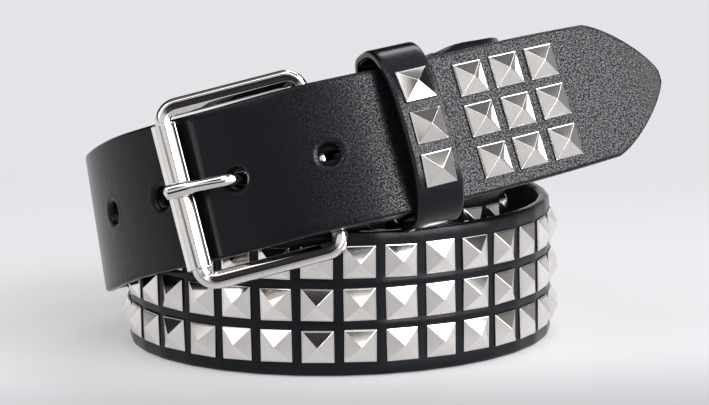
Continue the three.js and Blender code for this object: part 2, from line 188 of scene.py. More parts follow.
@dataclass
class Route:
    """The strap's way from the fold round the heel bar, three times round and straight out as the tail."""

    strap_width: float = 38
    thickness: float = 3
    ply_gap: float = 0.6
    stud_height: float = 2.7
    turn_gap: float = 2.8
    coil_radius: float = 58.4
    heel_turn: float = -94.3
    tail_rise: float = 0.135
    hidden_from: float = 930  # turns past this lie over the strap's own start
    full_turns: float = 1080
    return_length: float = 45
    return_close: float = 18
    bar_width: float = 4
    bar_clearance: float = 0.95
    rows: list[RouteRow] = field(init=False)
    turns: list[float] = field(init=False)
    lengths: list[float] = field(init=False)

    def __post_init__(self) -> None:
        """Lays out the rows and measures the coil in steps of one degree."""
        starts = [
            RouteRow(r.turn - self.full_turns, r.layer, r.height, r.lean_x, r.lean_y, 1.0)
            for r in COIL_ROWS
            if r.turn > self.hidden_from
        ]
        self.rows = [*starts, *COIL_ROWS]
        self.turns = [row.turn for row in self.rows]
        self.lengths = []
        length, last = 0.0, None
        for step in range(int(self.turns[-1] - self.heel_turn) + 1):
            point = self.station_of_turn(self.heel_turn + step).point
            length += (point - last).length if last else 0.0
            self.lengths.append(length)
            last = point

    @property
    def layer_pitch(self) -> float:
        """Returns the distance from a turn to the next one outside it."""
        return self.thickness + self.stud_height + self.turn_gap

    @property
    def ply_pitch(self) -> float:
        """Returns the distance between layers of strap that lie on each other."""
        return self.thickness + self.ply_gap

    @property
    def fold_radius(self) -> float:
        """Returns the radius of the strap's middle in the fold."""
        return self.bar_width / 2 + self.bar_clearance + self.thickness / 2

    @property
    def fold_arc(self) -> float:
        """Returns the length of the strap in the fold."""
        return math.pi * self.fold_radius

    @property
    def fold_start(self) -> Station:
        """Returns the station where the fold begins."""
        return self.station_at(0.0)

    @property
    def heel_centre(self) -> Vector:
        """Returns the middle of the heel bar."""
        return self.fold_start.beside(out=-self.thickness / 2 - self.fold_radius)

    def slope(self, index: int, name: str) -> float:
        """Returns a column's slope at a row, flat at a peak so that the curve never overshoots.

        Args:
            index: the row's number.
            name: the column's name.

        Returns:
            The slope, in the column's unit for each degree.
        """
        if index == len(self.rows) - 1:
            climb = self.tail_rise * self.coil_radius * math.radians(1) / self.strap_width
            return climb if name == "height" else 0.0

        def secant(i: int) -> float:
            """Returns the slope of the straight line from row i to the next."""
            rise = getattr(self.rows[i + 1], name) - getattr(self.rows[i], name)
            return rise / (self.turns[i + 1] - self.turns[i])

        if index == 0:
            return secant(0)
        before, after = secant(index - 1), secant(index)
        return 0.0 if before * after <= 0 else 2 * before * after / (before + after)

    def value(self, turn: float, name: str) -> float:
        """Returns a column's value at any turn, by cubic pieces between the rows.

        Args:
            turn: the turn in degrees.
            name: the column's name.

        Returns:
            The value, in the column's unit.
        """
        if turn >= self.turns[-1]:
            over = turn - self.turns[-1]
            return getattr(self.rows[-1], name) + self.slope(len(self.rows) - 1, name) * over
        i = max(0, bisect_right(self.turns, turn) - 1)
        span = self.turns[i + 1] - self.turns[i]
        t = (turn - self.turns[i]) / span
        start, end = self.slope(i, name) * span, self.slope(i + 1, name) * span
        here = getattr(self.rows[i], name)
        rise = getattr(self.rows[i + 1], name) - here
        cubic = (3 * rise - 2 * start - end) * t * t + (start + end - 2 * rise) * t * t * t
        return here + start * t + cubic

    def coil_point(self, turn: float) -> Vector:
        """Returns the middle of the strap's outer face at a turn, before any plies over it.

        Args:
            turn: the turn in degrees.

        Returns:
            The point, in millimetres from the coil's axis.
        """
        radius = self.coil_radius + self.value(turn, "layer") * self.layer_pitch
        angle = math.radians(turn)
        height = self.value(turn, "height") * self.strap_width
        return Vector((radius * math.cos(angle), radius * math.sin(angle), height))

    def station_of_turn(self, turn: float) -> Station:
        """Returns the station at a turn in degrees.

        Args:
            turn: the turn in degrees.

        Returns:
            The station, moved in below the plies that lie over it.
        """
        along = (self.coil_point(turn + 0.5) - self.coil_point(turn - 0.5)).normalized()
        up = Vector((self.value(turn, "lean_x"), self.value(turn, "lean_y"), 1))
        up = (up - along * up.dot(along)).normalized()
        out = along.cross(up)
        point = self.coil_point(turn) - out * (self.value(turn, "plies") * self.ply_pitch)
        return Station(point, along, up, out)

    def length_of_turn(self, turn: float) -> float:
        """Returns how far along the strap a turn is.

        Args:
            turn: the turn in degrees.

        Returns:
            The length from the fold, in millimetres.
        """
        i = int(turn - self.heel_turn)
        share = turn - self.heel_turn - i
        ahead = self.lengths[min(i + 1, len(self.lengths) - 1)]
        return self.lengths[i] + (ahead - self.lengths[i]) * share

    def station_at(self, length: float) -> Station:
        """Returns the station at a length from the fold. Past the coil the tail runs straight.

        Args:
            length: the length from the fold, in millimetres.

        Returns:
            The station there.
        """
        if length >= self.lengths[-1]:
            end = self.station_of_turn(self.heel_turn + len(self.lengths) - 1)
            point = end.beside(along=length - self.lengths[-1])
            return Station(point, end.along, end.up, end.out)
        i = max(1, bisect_right(self.lengths, length))
        share = (length - self.lengths[i - 1]) / (self.lengths[i] - self.lengths[i - 1])
        return self.station_of_turn(self.heel_turn + i - 1 + share)

    def returned_station(self, length: float) -> Station:
        """Returns the station of the end that is folded back, at a length from the fold's far side.

        Args:
            length: the length from the fold's far side, in millimetres.

        Returns:
            The station there, whose outer face looks into the coil.
        """
        spread = (1 + math.cos(math.pi * clamp(length / self.return_close))) / 2
        depth = self.ply_pitch + (2 * self.fold_radius - self.ply_pitch) * spread
        front = self.station_at(length)
        point = front.beside(out=-self.thickness - depth)
        return Station(point, -front.along, front.up, -front.out)

    def fold_station(self, angle: float) -> Station:
        """Returns the station at an angle round the fold.

        Args:
            angle: the angle from the fold's start, in radians.

        Returns:
            The station there.
        """
        start = self.fold_start
        out = start.out * math.cos(angle) - start.along * math.sin(angle)
        along = start.along * math.cos(angle) + start.out * math.sin(angle)
        point = self.heel_centre + out * (self.fold_radius + self.thickness / 2)
        return Station(point, along, start.up, out)

    def strap_station(self, place: float) -> Station:
        """Returns the station at a place along the whole strap; the fold lies below 0.

        Args:
            place: the place along the strap, in millimetres.

        Returns:
            The station there.
        """
        if place >= 0:
            return self.station_at(place)
        if place > -self.fold_arc:
            return self.fold_station(-place / self.fold_arc * math.pi)
        return self.returned_station(-place - self.fold_arc)


# Mesh helpers


def wrapped_grid(
    rows: int,
    columns: int,
    place: Callable[[int, int], Vector],
    flow: Callable[[int, int], tuple[float, float]] | None = None,
    close_rows: bool = False,
) -> bmesh.types.BMesh:
    """Wraps a flat grid into a tube, or into a ring where its rows close too.

    Args:
        rows: how many stops the tube has along its way.
        columns: how many points its section has, all the way round.
        place: gives the point in millimetres for a row and a column.
        flow: gives the UV place for a row and a column.
        close_rows: whether the last row meets the first.

    Returns:
        A bmesh in metres, closed all over, with its faces pointing out.
    """
    bm = bmesh.new()
    spans = rows if close_rows else rows - 1
    bmesh.ops.create_grid(bm, x_segments=spans, y_segments=columns, size=1)
    spot = {v: (round((v.co.x + 1) / 2 * spans), round((v.co.y + 1) / 2 * columns)) for v in bm.verts}
    if flow:
        layer = bm.loops.layers.uv.new(FLOW)
        for face in bm.faces:
            for loop in face.loops:
                loop[layer].uv = flow(*spot[loop.vert])
    for vert, (row, column) in spot.items():
        vert.co = place(row % rows, column % columns) * MM
    bmesh.ops.remove_doubles(bm, verts=bm.verts, dist=WELD)
    if not close_rows:
        bmesh.ops.holes_fill(bm, edges=[e for e in bm.edges if e.is_boundary], sides=0)
    bmesh.ops.recalc_face_normals(bm, faces=bm.faces)
    return bm


def add_bmesh(target: bmesh.types.BMesh, source: bmesh.types.BMesh) -> None:
    """Adds the source's mesh to the target and frees the source.

    Args:
        target: the mesh that grows.
        source: the mesh that is added.
    """
    mesh = bpy.data.meshes.new("joined")
    source.to_mesh(mesh)
    source.free()
    target.from_mesh(mesh)
    bpy.data.meshes.remove(mesh)


def finish_piece(
    name: str,
    bm: bmesh.types.BMesh,
    material: bpy.types.Material,
    body: Body,
    slot: Slot,
    stands_for: Sequence[str] = (),
    weigh_normals: bool = False,
) -> None:
    """Makes an object of a bmesh, dresses it and lets it ride.

    Args:
        name: the piece's name.
        bm: the mesh in metres in the row frame, which is freed.
        material: the piece's finish.
        body: the body it rides on.
        slot: not used.
        stands_for: the nodes that it replaces.
        weigh_normals: whether large faces keep their own flat shading.
    """
    mesh = bpy.data.meshes.new(name)
    for face in bm.faces:
        face.smooth = True
    bm.to_mesh(mesh)
    bm.free()
    mesh.materials.append(material)
    piece = bpy.data.objects.new(name, mesh)
    bpy.context.scene.collection.objects.link(piece)
    if weigh_normals:
        piece.modifiers.new("crisp", "WEIGHTED_NORMAL").mode = "FACE_AREA"
    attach(piece, body.value)
    if stands_for:
        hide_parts(*stands_for)
    LOG.info("%s: %d faces", name, len(mesh.polygons))


def lengths_round(section: Sequence[tuple[float, float]]) -> list[float]:
    """Returns how far round a closed section each point lies, and at the end the whole way round.

    Args:
        section: the section's points in order.

    Returns:
        The lengths, one more than there are points.
    """
    reach = [0.0]
    for (x0, y0), (x1, y1) in zip(section, [*section[1:], section[0]]):
        reach.append(reach[-1] + math.hypot(x1 - x0, y1 - y0))
    return reach


def resampled(points: Sequence[Vector], count: int) -> list[Vector]:
    """Returns points at even distances along a line through the points.

    Args:
        points: the line's points.
        count: how many points are wanted.

    Returns:
        The points, with both ends of the line among them.
    """
    reach = [0.0]
    for a, b in zip(points, points[1:]):
        reach.append(reach[-1] + (b - a).length)
    found = []
    for k in range(count):
        goal = reach[-1] * k / (count - 1)
        i = min(max(1, bisect_right(reach, goal)), len(points) - 1)
        share = (goal - reach[i - 1]) / (reach[i] - reach[i - 1])
        found.append(points[i - 1].lerp(points[i], clamp(share)))
    return found


def smooth_way(points: Sequence[Vector], count: int, fine: int = 24) -> list[Vector]:
    """Returns evenly spaced points of a centripetal curve through the points.

    Args:
        points: the points that the curve goes through.
        count: how many points are wanted.
        fine: how many steps each stretch of the curve is worked out in.

    Returns:
        The points, with both ends of the curve among them.
    """
    ends = [points[0] * 2 - points[1], *points, points[-1] * 2 - points[-2]]
    dense: list[Vector] = []
    for a, b, c, d in zip(ends, ends[1:], ends[2:], ends[3:]):
        knots = [0.0]
        for p, q in ((a, b), (b, c), (c, d)):
            knots.append(knots[-1] + math.sqrt((q - p).length))
        t0, t1, t2, t3 = knots
        for k in range(fine):
            t = t1 + (t2 - t1) * k / fine
            first = a.lerp(b, (t - t0) / (t1 - t0))
            second = b.lerp(c, (t - t1) / (t2 - t1))
            third = c.lerp(d, (t - t2) / (t3 - t2))
            low = first.lerp(second, (t - t0) / (t2 - t0))
            high = second.lerp(third, (t - t1) / (t3 - t1))
            dense.append(low.lerp(high, (t - t1) / (t2 - t1)))
    dense.append(points[-1].copy())
    return resampled(dense, count)


# Shaders


class Wire:
    """A value socket whose arithmetic adds Math nodes to its tree."""

    def __init__(self, graph: Graph, socket: bpy.types.NodeSocket) -> None:
        """Keeps the graph and the socket."""
        self.graph = graph
        self.socket = socket

    def math(self, operation: str, *others: Wire | float) -> Wire:
        """Returns the result of a Math node on this value and the others."""
        return self.graph.math(operation, self, *others)

    def __add__(self, other: Wire | float) -> Wire:
        """Returns the sum."""
        return self.math("ADD", other)

    def __radd__(self, other: float) -> Wire:
        """Returns the sum."""
        return self.math("ADD", other)

    def __sub__(self, other: Wire | float) -> Wire:
        """Returns the difference."""
        return self.math("SUBTRACT", other)

    def __rsub__(self, other: float) -> Wire:
        """Returns the difference, with this value taken off."""
        return self.graph.math("SUBTRACT", other, self)

    def __mul__(self, other: Wire | float) -> Wire:
        """Returns the product."""
        return self.math("MULTIPLY", other)

    def __rmul__(self, other: float) -> Wire:
        """Returns the product."""
        return self.math("MULTIPLY", other)

    def step(self, low: float, high: float) -> Wire:
        """Returns 0 at low and 1 at high, with an easy rise between.

        Args:
            low: the value that gives 0, which may be the larger one.
            high: the value that gives 1.

        Returns:
            The wire of the result.
        """
        node = self.graph.node(
            "ShaderNodeMapRange",
            {"interpolation_type": "SMOOTHSTEP"},
            {"Value": self, "From Min": low, "From Max": high},
        )
        return Wire(self.graph, node.outputs["Result"])


class Graph:
    """A node tree that is built by calls and expressions."""

    COLOUR_INPUTS = (6, 7)  # numbers of a Mix node's colour sockets
    COLOUR_OUTPUT = 2

    def __init__(self, tree: bpy.types.NodeTree) -> None:
        """Empties the tree and keeps it."""
        self.tree = tree
        tree.nodes.clear()

    def node(
        self,
        kind: str,
        settings: dict[str, object] | None = None,
        inputs: dict[str | int, object] | None = None,
    ) -> bpy.types.Node:
        """Adds a node.

        Args:
            kind: the node's type.
            settings: its properties, set before its sockets.
            inputs: values, wires or sockets for its inputs, by name or number.

        Returns:
            The new node.
        """
        made = self.tree.nodes.new(kind)
        for name, value in (settings or {}).items():
            setattr(made, name, value)
        for name, value in (inputs or {}).items():
            if isinstance(value, Wire):
                value = value.socket
            if isinstance(value, bpy.types.NodeSocket):
                self.tree.links.new(value, made.inputs[name])
            else:
                made.inputs[name].default_value = value
        return made

    def math(self, operation: str, *values: Wire | float) -> Wire:
        """Returns the result of a Math node."""
        made = self.node("ShaderNodeMath", {"operation": operation}, dict(enumerate(values)))
        return Wire(self, made.outputs[0])

    def wire(self, node: bpy.types.Node, output: str | int = 0) -> Wire:
        """Returns one output of a node as a wire."""
        return Wire(self, node.outputs[output])

    def attribute(self, name: str) -> Wire:
        """Returns a number that the mesh carries on its vertices."""
        made = self.node("ShaderNodeAttribute", {"attribute_name": name})
        return Wire(self, made.outputs["Fac"])

    def scaled(self, vector: bpy.types.NodeSocket, scale: Triple) -> bpy.types.NodeSocket:
        """Returns the vector stretched by a factor for each axis."""
        made = self.node("ShaderNodeMapping", None, {"Vector": vector, "Scale": scale})
        return made.outputs[0]

    def noise(
        self, vector: bpy.types.NodeSocket, scale: float, detail: float = 2.0, roughness: float = 0.5
    ) -> Wire:
        """Returns cloudy noise between 0 and 1.

        Args:
            vector: the place that it is drawn at.
            scale: how many clouds there are in a unit.
            detail: how many finer layers it has.
            roughness: how strong those layers are.

        Returns:
            The wire of the noise.
        """
        inputs = {"Vector": vector, "Scale": scale, "Detail": detail, "Roughness": roughness}
        return self.wire(self.node("ShaderNodeTexNoise", None, inputs), "Fac")

    def cells(self, vector: bpy.types.NodeSocket, scale: float) -> Wire:
        """Returns the distance to the nearest cell's middle."""
        made = self.node("ShaderNodeTexVoronoi", {"feature": "F1"}, {"Vector": vector, "Scale": scale})
        return self.wire(made, "Distance")

    def mix_colour(self, share: Wire, first: Colour, second: Colour) -> bpy.types.NodeSocket:
        """Returns a colour that goes from the first to the second as the share grows.

        Args:
            share: 0 for the first colour and 1 for the second.
            first: a colour as three numbers, or a socket.
            second: a colour as three numbers, or a socket.

        Returns:
            The mixed colour's socket.
        """
        inputs: dict[str | int, object] = {"Factor": share}
        for number, colour in zip(self.COLOUR_INPUTS, (first, second)):
            inputs[number] = colour if isinstance(colour, bpy.types.NodeSocket) else (*colour, 1)
        return self.node("ShaderNodeMix", {"data_type": "RGBA"}, inputs).outputs[self.COLOUR_OUTPUT]

    def bump(self, height: Wire) -> bpy.types.NodeSocket:
        """Returns a normal that a height in millimetres turns."""
        return self.node("ShaderNodeBump", None, {"Height": height, "Distance": MM}).outputs[0]

    def finish(self, settings: dict[str | int, object]) -> None:
        """Ends a material in a Principled shader with these settings."""
        shader = self.node("ShaderNodeBsdfPrincipled", None, settings)
        self.node("ShaderNodeOutputMaterial", None, {"Surface": shader.outputs[0]})


def new_material(name: str) -> tuple[bpy.types.Material, Graph]:
    """Returns a new material and the graph of its nodes.

    Args:
        name: the material's name.

    Returns:
        The material and its empty graph.
    """
    material = bpy.data.materials.new(name)
    material.use_nodes = True
    return material, Graph(material.node_tree)


@dataclass(frozen=True)
class Leather:
    """Black coated leather with a pebbled grain, painted edges and a matt back."""

    colour: Triple = (0.0022, 0.0025, 0.0038)
    worn_gain: float = 1.9  # how much lighter than its colour the leather gets
    edge_colour: Triple = (0.004, 0.004, 0.005)
    lining_colour: Triple = (0.008, 0.0076, 0.0075)
    tint: Triple = (0.86, 0.9, 1.0)
    roughness: float = 0.24
    grain_roughness: float = 0.12
    patch_roughness: float = 0.12
    edge_smoothness: float = 0.04
    lining_roughness: float = 0.75
    grain_size: float = 0.3  # millimetres from one pebble to the next
    pebble_span: Span = (0.05, 0.7)  # shares of a cell between which a pebble falls away
    fine_scale: float = 0.62  # scale of the fine grain, as a share of the pebbles'
    warp_scale: float = 0.35
    warp_reach: Triple = (0.05, 0.05, 0.0)  # centimetres
    patch_scale: float = 0.7  # patches in a centimetre
    crease_stretch: Triple = (2.6, 0.55, 1.0)
    crease_scale: float = 2.2
    crease_width: float = 0.09
    grain_depth: float = 0.2  # millimetres, as are the other depths
    smooth_depth: float = 0.012
    wrinkle_depth: float = 0.045
    sway_depth: float = 0.12  # of the slow unevenness of the whole strap
    sway_scale: float = 0.9
    specular: float = 0.08
    gloss: float = 0.24  # share of the coat on smooth leather
    speckle_gloss: float = 0.25  # what fine grain adds to it
    speckle_span: Span = (0.02, 0.3)
    peak_gloss: float = 1.0  # share of the coat on the grain's tops
    peak_span: Span = (0.46, 0.7)
    edge_gloss: float = 0.25
    gloss_roughness: float = 0.26

    def material(self, name: str) -> bpy.types.Material:
        """Returns the finish, which reads the grain, edge, lining and wrinkle numbers of the mesh.

        Args:
            name: the material's name.

        Returns:
            The material.
        """
        made, g = new_material(name)
        flow = g.node("ShaderNodeUVMap", {"uv_map": FLOW}).outputs[0]
        grain, edge, lining, wrinkle = (g.attribute(mark) for mark in MARKS)
        pebbles, fine = self.grain_parts(g, flow)
        patches = g.noise(flow, self.patch_scale, 3, 0.55)
        depth = grain * (self.grain_depth - self.smooth_depth) + self.smooth_depth
        surface = 1 - lining * 0.6 - edge * 0.75
        relief = (pebbles * 0.3 + fine) * depth * surface
        relief = relief + self.creases(g, flow) * wrinkle * self.wrinkle_depth
        relief = relief + g.noise(flow, self.sway_scale, 2) * self.sway_depth
        rough = self.roughness + grain * self.grain_roughness + (patches - 0.5) * self.patch_roughness
        rough = rough + lining * (self.lining_roughness - self.roughness) - edge * self.edge_smoothness
        peaks = (pebbles * 0.2 + fine).step(*self.peak_span) * self.peak_gloss
        speckle = self.gloss + (fine - 0.5).step(*self.speckle_span) * self.speckle_gloss
        coat = (speckle + grain * (peaks - speckle)) * (1 - lining * 0.9) + edge * self.edge_gloss
        worn = (patches - 0.5) * 0.8 + grain * 0.3 + pebbles * grain * 0.3
        lighter = tuple(part * self.worn_gain for part in self.colour)
        tone = g.mix_colour(worn.step(0.0, 1.0), self.colour, lighter)
        edged = g.mix_colour(edge, tone, self.edge_colour)
        g.finish(
            {
                "Base Color": g.mix_colour(lining, edged, self.lining_colour),
                "Roughness": rough,
                "Normal": g.bump(relief),
                "Specular IOR Level": self.specular,
                "Specular Tint": (*self.tint, 1),
                "Coat Weight": coat,
                "Coat Roughness": self.gloss_roughness,
            }
        )
        return made

    def grain_parts(self, g: Graph, flow: bpy.types.NodeSocket) -> tuple[Wire, Wire]:
        """Draws the pebbles and the fine grain.

        Args:
            g: the material's graph.
            flow: the UV place along and across the leather.

        Returns:
            The pebbles, 1 on their tops, and the fine grain, both between 0 and 1.
        """
        per_cm = 1 / (self.grain_size * UV_CM)
        warp = g.noise(flow, per_cm * self.warp_scale, 2)
        both = g.node("ShaderNodeCombineXYZ", None, {0: warp, 1: warp}).outputs[0]
        inputs = {0: both, 1: self.warp_reach, 2: flow}
        warped = g.node("ShaderNodeVectorMath", {"operation": "MULTIPLY_ADD"}, inputs).outputs[0]
        pebbles = 1 - g.cells(warped, per_cm).step(*self.pebble_span)
        return pebbles, g.noise(flow, per_cm * self.fine_scale, 3, 0.7)

    def creases(self, g: Graph, flow: bpy.types.NodeSocket) -> Wire:
        """Returns the creases of bent leather, 0 in a crease and 1 beside it."""
        creased = g.noise(g.scaled(flow, self.crease_stretch), self.crease_scale, 4, 0.62)
        return (creased - 0.5).math("ABSOLUTE").step(0.0, self.crease_width)


@dataclass(frozen=True)
class Nickel:
    """Bright nickel plate with faint brushing and a slight cloud in its gloss."""

    colour: Triple = (0.86, 0.825, 0.79)
    tint: Triple = (0.78, 0.745, 0.715)
    tint_span: Span = (0.3, 0.7)
    roughness: float = 0.08
    cloud: float = 0.05
    cloud_scale: float = 120  # clouds in a metre, as are the other scales
    ripple: float = 0.01  # depth in millimetres of the unevenness under the plate
    ripple_scale: float = 260
    scratches: float = 0.004
    scratch_scale: float = 5200
    scratch_stretch: Triple = (1.0, 1.0, 0.12)

    def material(self, name: str) -> bpy.types.Material:
        """Returns the finish.

        Args:
            name: the material's name.

        Returns:
            The material.
        """
        made, g = new_material(name)
        place = g.node("ShaderNodeTexCoord").outputs["Object"]
        cloud = g.noise(place, self.cloud_scale, 3, 0.6)
        ripple = g.noise(place, self.ripple_scale, 2)
        scratch = g.noise(g.scaled(place, self.scratch_stretch), self.scratch_scale, 2)
        g.finish(
            {
                "Base Color": g.mix_colour(cloud.step(*self.tint_span), self.colour, self.tint),
                "Metallic": 1.0,
                "Roughness": self.roughness + (cloud - 0.5) * self.cloud,
                "Normal": g.bump(ripple * self.ripple + scratch * self.scratches),
            }
        )
        return made


# Pieces


@dataclass
class Stud:
    """A square pyramid stud, pressed from sheet, with a short upright skirt."""

    side: float = 8.5
    height: float = 2.7
    skirt: float = 0.5
    ledge: float = 0.3  # width of the flat rim round the pyramid's foot
    foot: float = 0.2  # height of the upright step from the rim to the facets
    ridge_radius: float = 0.08
    tilt: float = 1.3  # degrees that a stud may stand askew
    single_tilt: float = 0.5  # the same for the studs set one by one
    slip: float = 0.12
    fused_sink: float = 0.3  # how far the field's studs reach into the leather
    single_sink: float = 0.25  # the same for the studs set one by one

    def build(self, sink: float) -> bmesh.types.BMesh:
        """Returns one stud in millimetres: its seat at z 0 and its foot a little below, at -sink.

        Args:
            sink: how far the foot reaches below the seat.

        Returns:
            The stud's mesh, with its ridges eased.
        """
        bm = bmesh.new()
        base_level = self.skirt + self.foot
        rise = self.height - base_level
        bmesh.ops.create_cone(
            bm,
            cap_ends=True,
            segments=4,
            radius1=(self.side - 2 * self.ledge) / math.sqrt(2),
            radius2=0,
            depth=rise,
            matrix=Matrix.Translation((0, 0, base_level + rise / 2)) @ Matrix.Rotation(math.pi / 4, 4, "Z"),
        )
        same = 1e-4  # millimetres within which points and levels are one
        bmesh.ops.remove_doubles(bm, verts=bm.verts, dist=same)
        base = [f for f in bm.faces if abs(f.calc_center_median().z - base_level) < same]
        wider = self.side / (self.side - 2 * self.ledge)
        for drop, spread in ((self.foot, 1.0), (0.0, wider), (self.skirt + sink, 1.0)):
            grown = bmesh.ops.extrude_face_region(bm, geom=base)["geom"]
            corners = [v for v in grown if isinstance(v, bmesh.types.BMVert)]
            bmesh.ops.scale(bm, verts=corners, vec=(spread, spread, 1))
            bmesh.ops.translate(bm, verts=corners, vec=(0, 0, -drop))
            bmesh.ops.delete(bm, geom=[f for f in base if f.is_valid], context="FACES")
            base = [f for f in grown if isinstance(f, bmesh.types.BMFace)]
        sharp = [e for e in bm.edges if max(v.co.z for v in e.verts) > -sink / 2]
        bmesh.ops.bevel(
            bm, geom=sharp, offset=self.ridge_radius, segments=1, profile=0.5, affect="EDGES", material=-1
        )
        bmesh.ops.recalc_face_normals(bm, faces=bm.faces)
        return bm

    def placed(self, seats: Sequence[Matrix], sink: float, dice: random.Random) -> bmesh.types.BMesh:
        """Returns a mesh in metres with a stud on each seat, each a touch askew.

        Args:
            seats: the places in millimetres, with z out of the leather.
            sink: how far each foot reaches below its seat.
            dice: the source of the draws.

        Returns:
            One mesh with all the studs.
        """
        tilt = self.tilt if len(seats) > 1 else self.single_tilt
        single = bpy.data.meshes.new("stud")
        bm = self.build(sink)
        bm.to_mesh(single)
        bm.free()
        field_mesh = bmesh.new()
        for seat in seats:
            lean = Matrix.Rotation(math.radians(dice.uniform(-tilt, tilt)), 4, "X")
            lean = lean @ Matrix.Rotation(math.radians(dice.uniform(-tilt, tilt)), 4, "Y")
            lean = lean @ Matrix.Rotation(math.radians(dice.uniform(-tilt, tilt)), 4, "Z")
            slip = Matrix.Translation(
                (dice.uniform(-self.slip, self.slip), dice.uniform(-self.slip, self.slip), 0)
            )
            known = len(field_mesh.verts)
            field_mesh.from_mesh(single)
            field_mesh.verts.ensure_lookup_table()
            bmesh.ops.transform(
                field_mesh, matrix=Matrix.Scale(MM, 4) @ seat @ slip @ lean, verts=field_mesh.verts[known:]
            )
        bpy.data.meshes.remove(single)
        return field_mesh


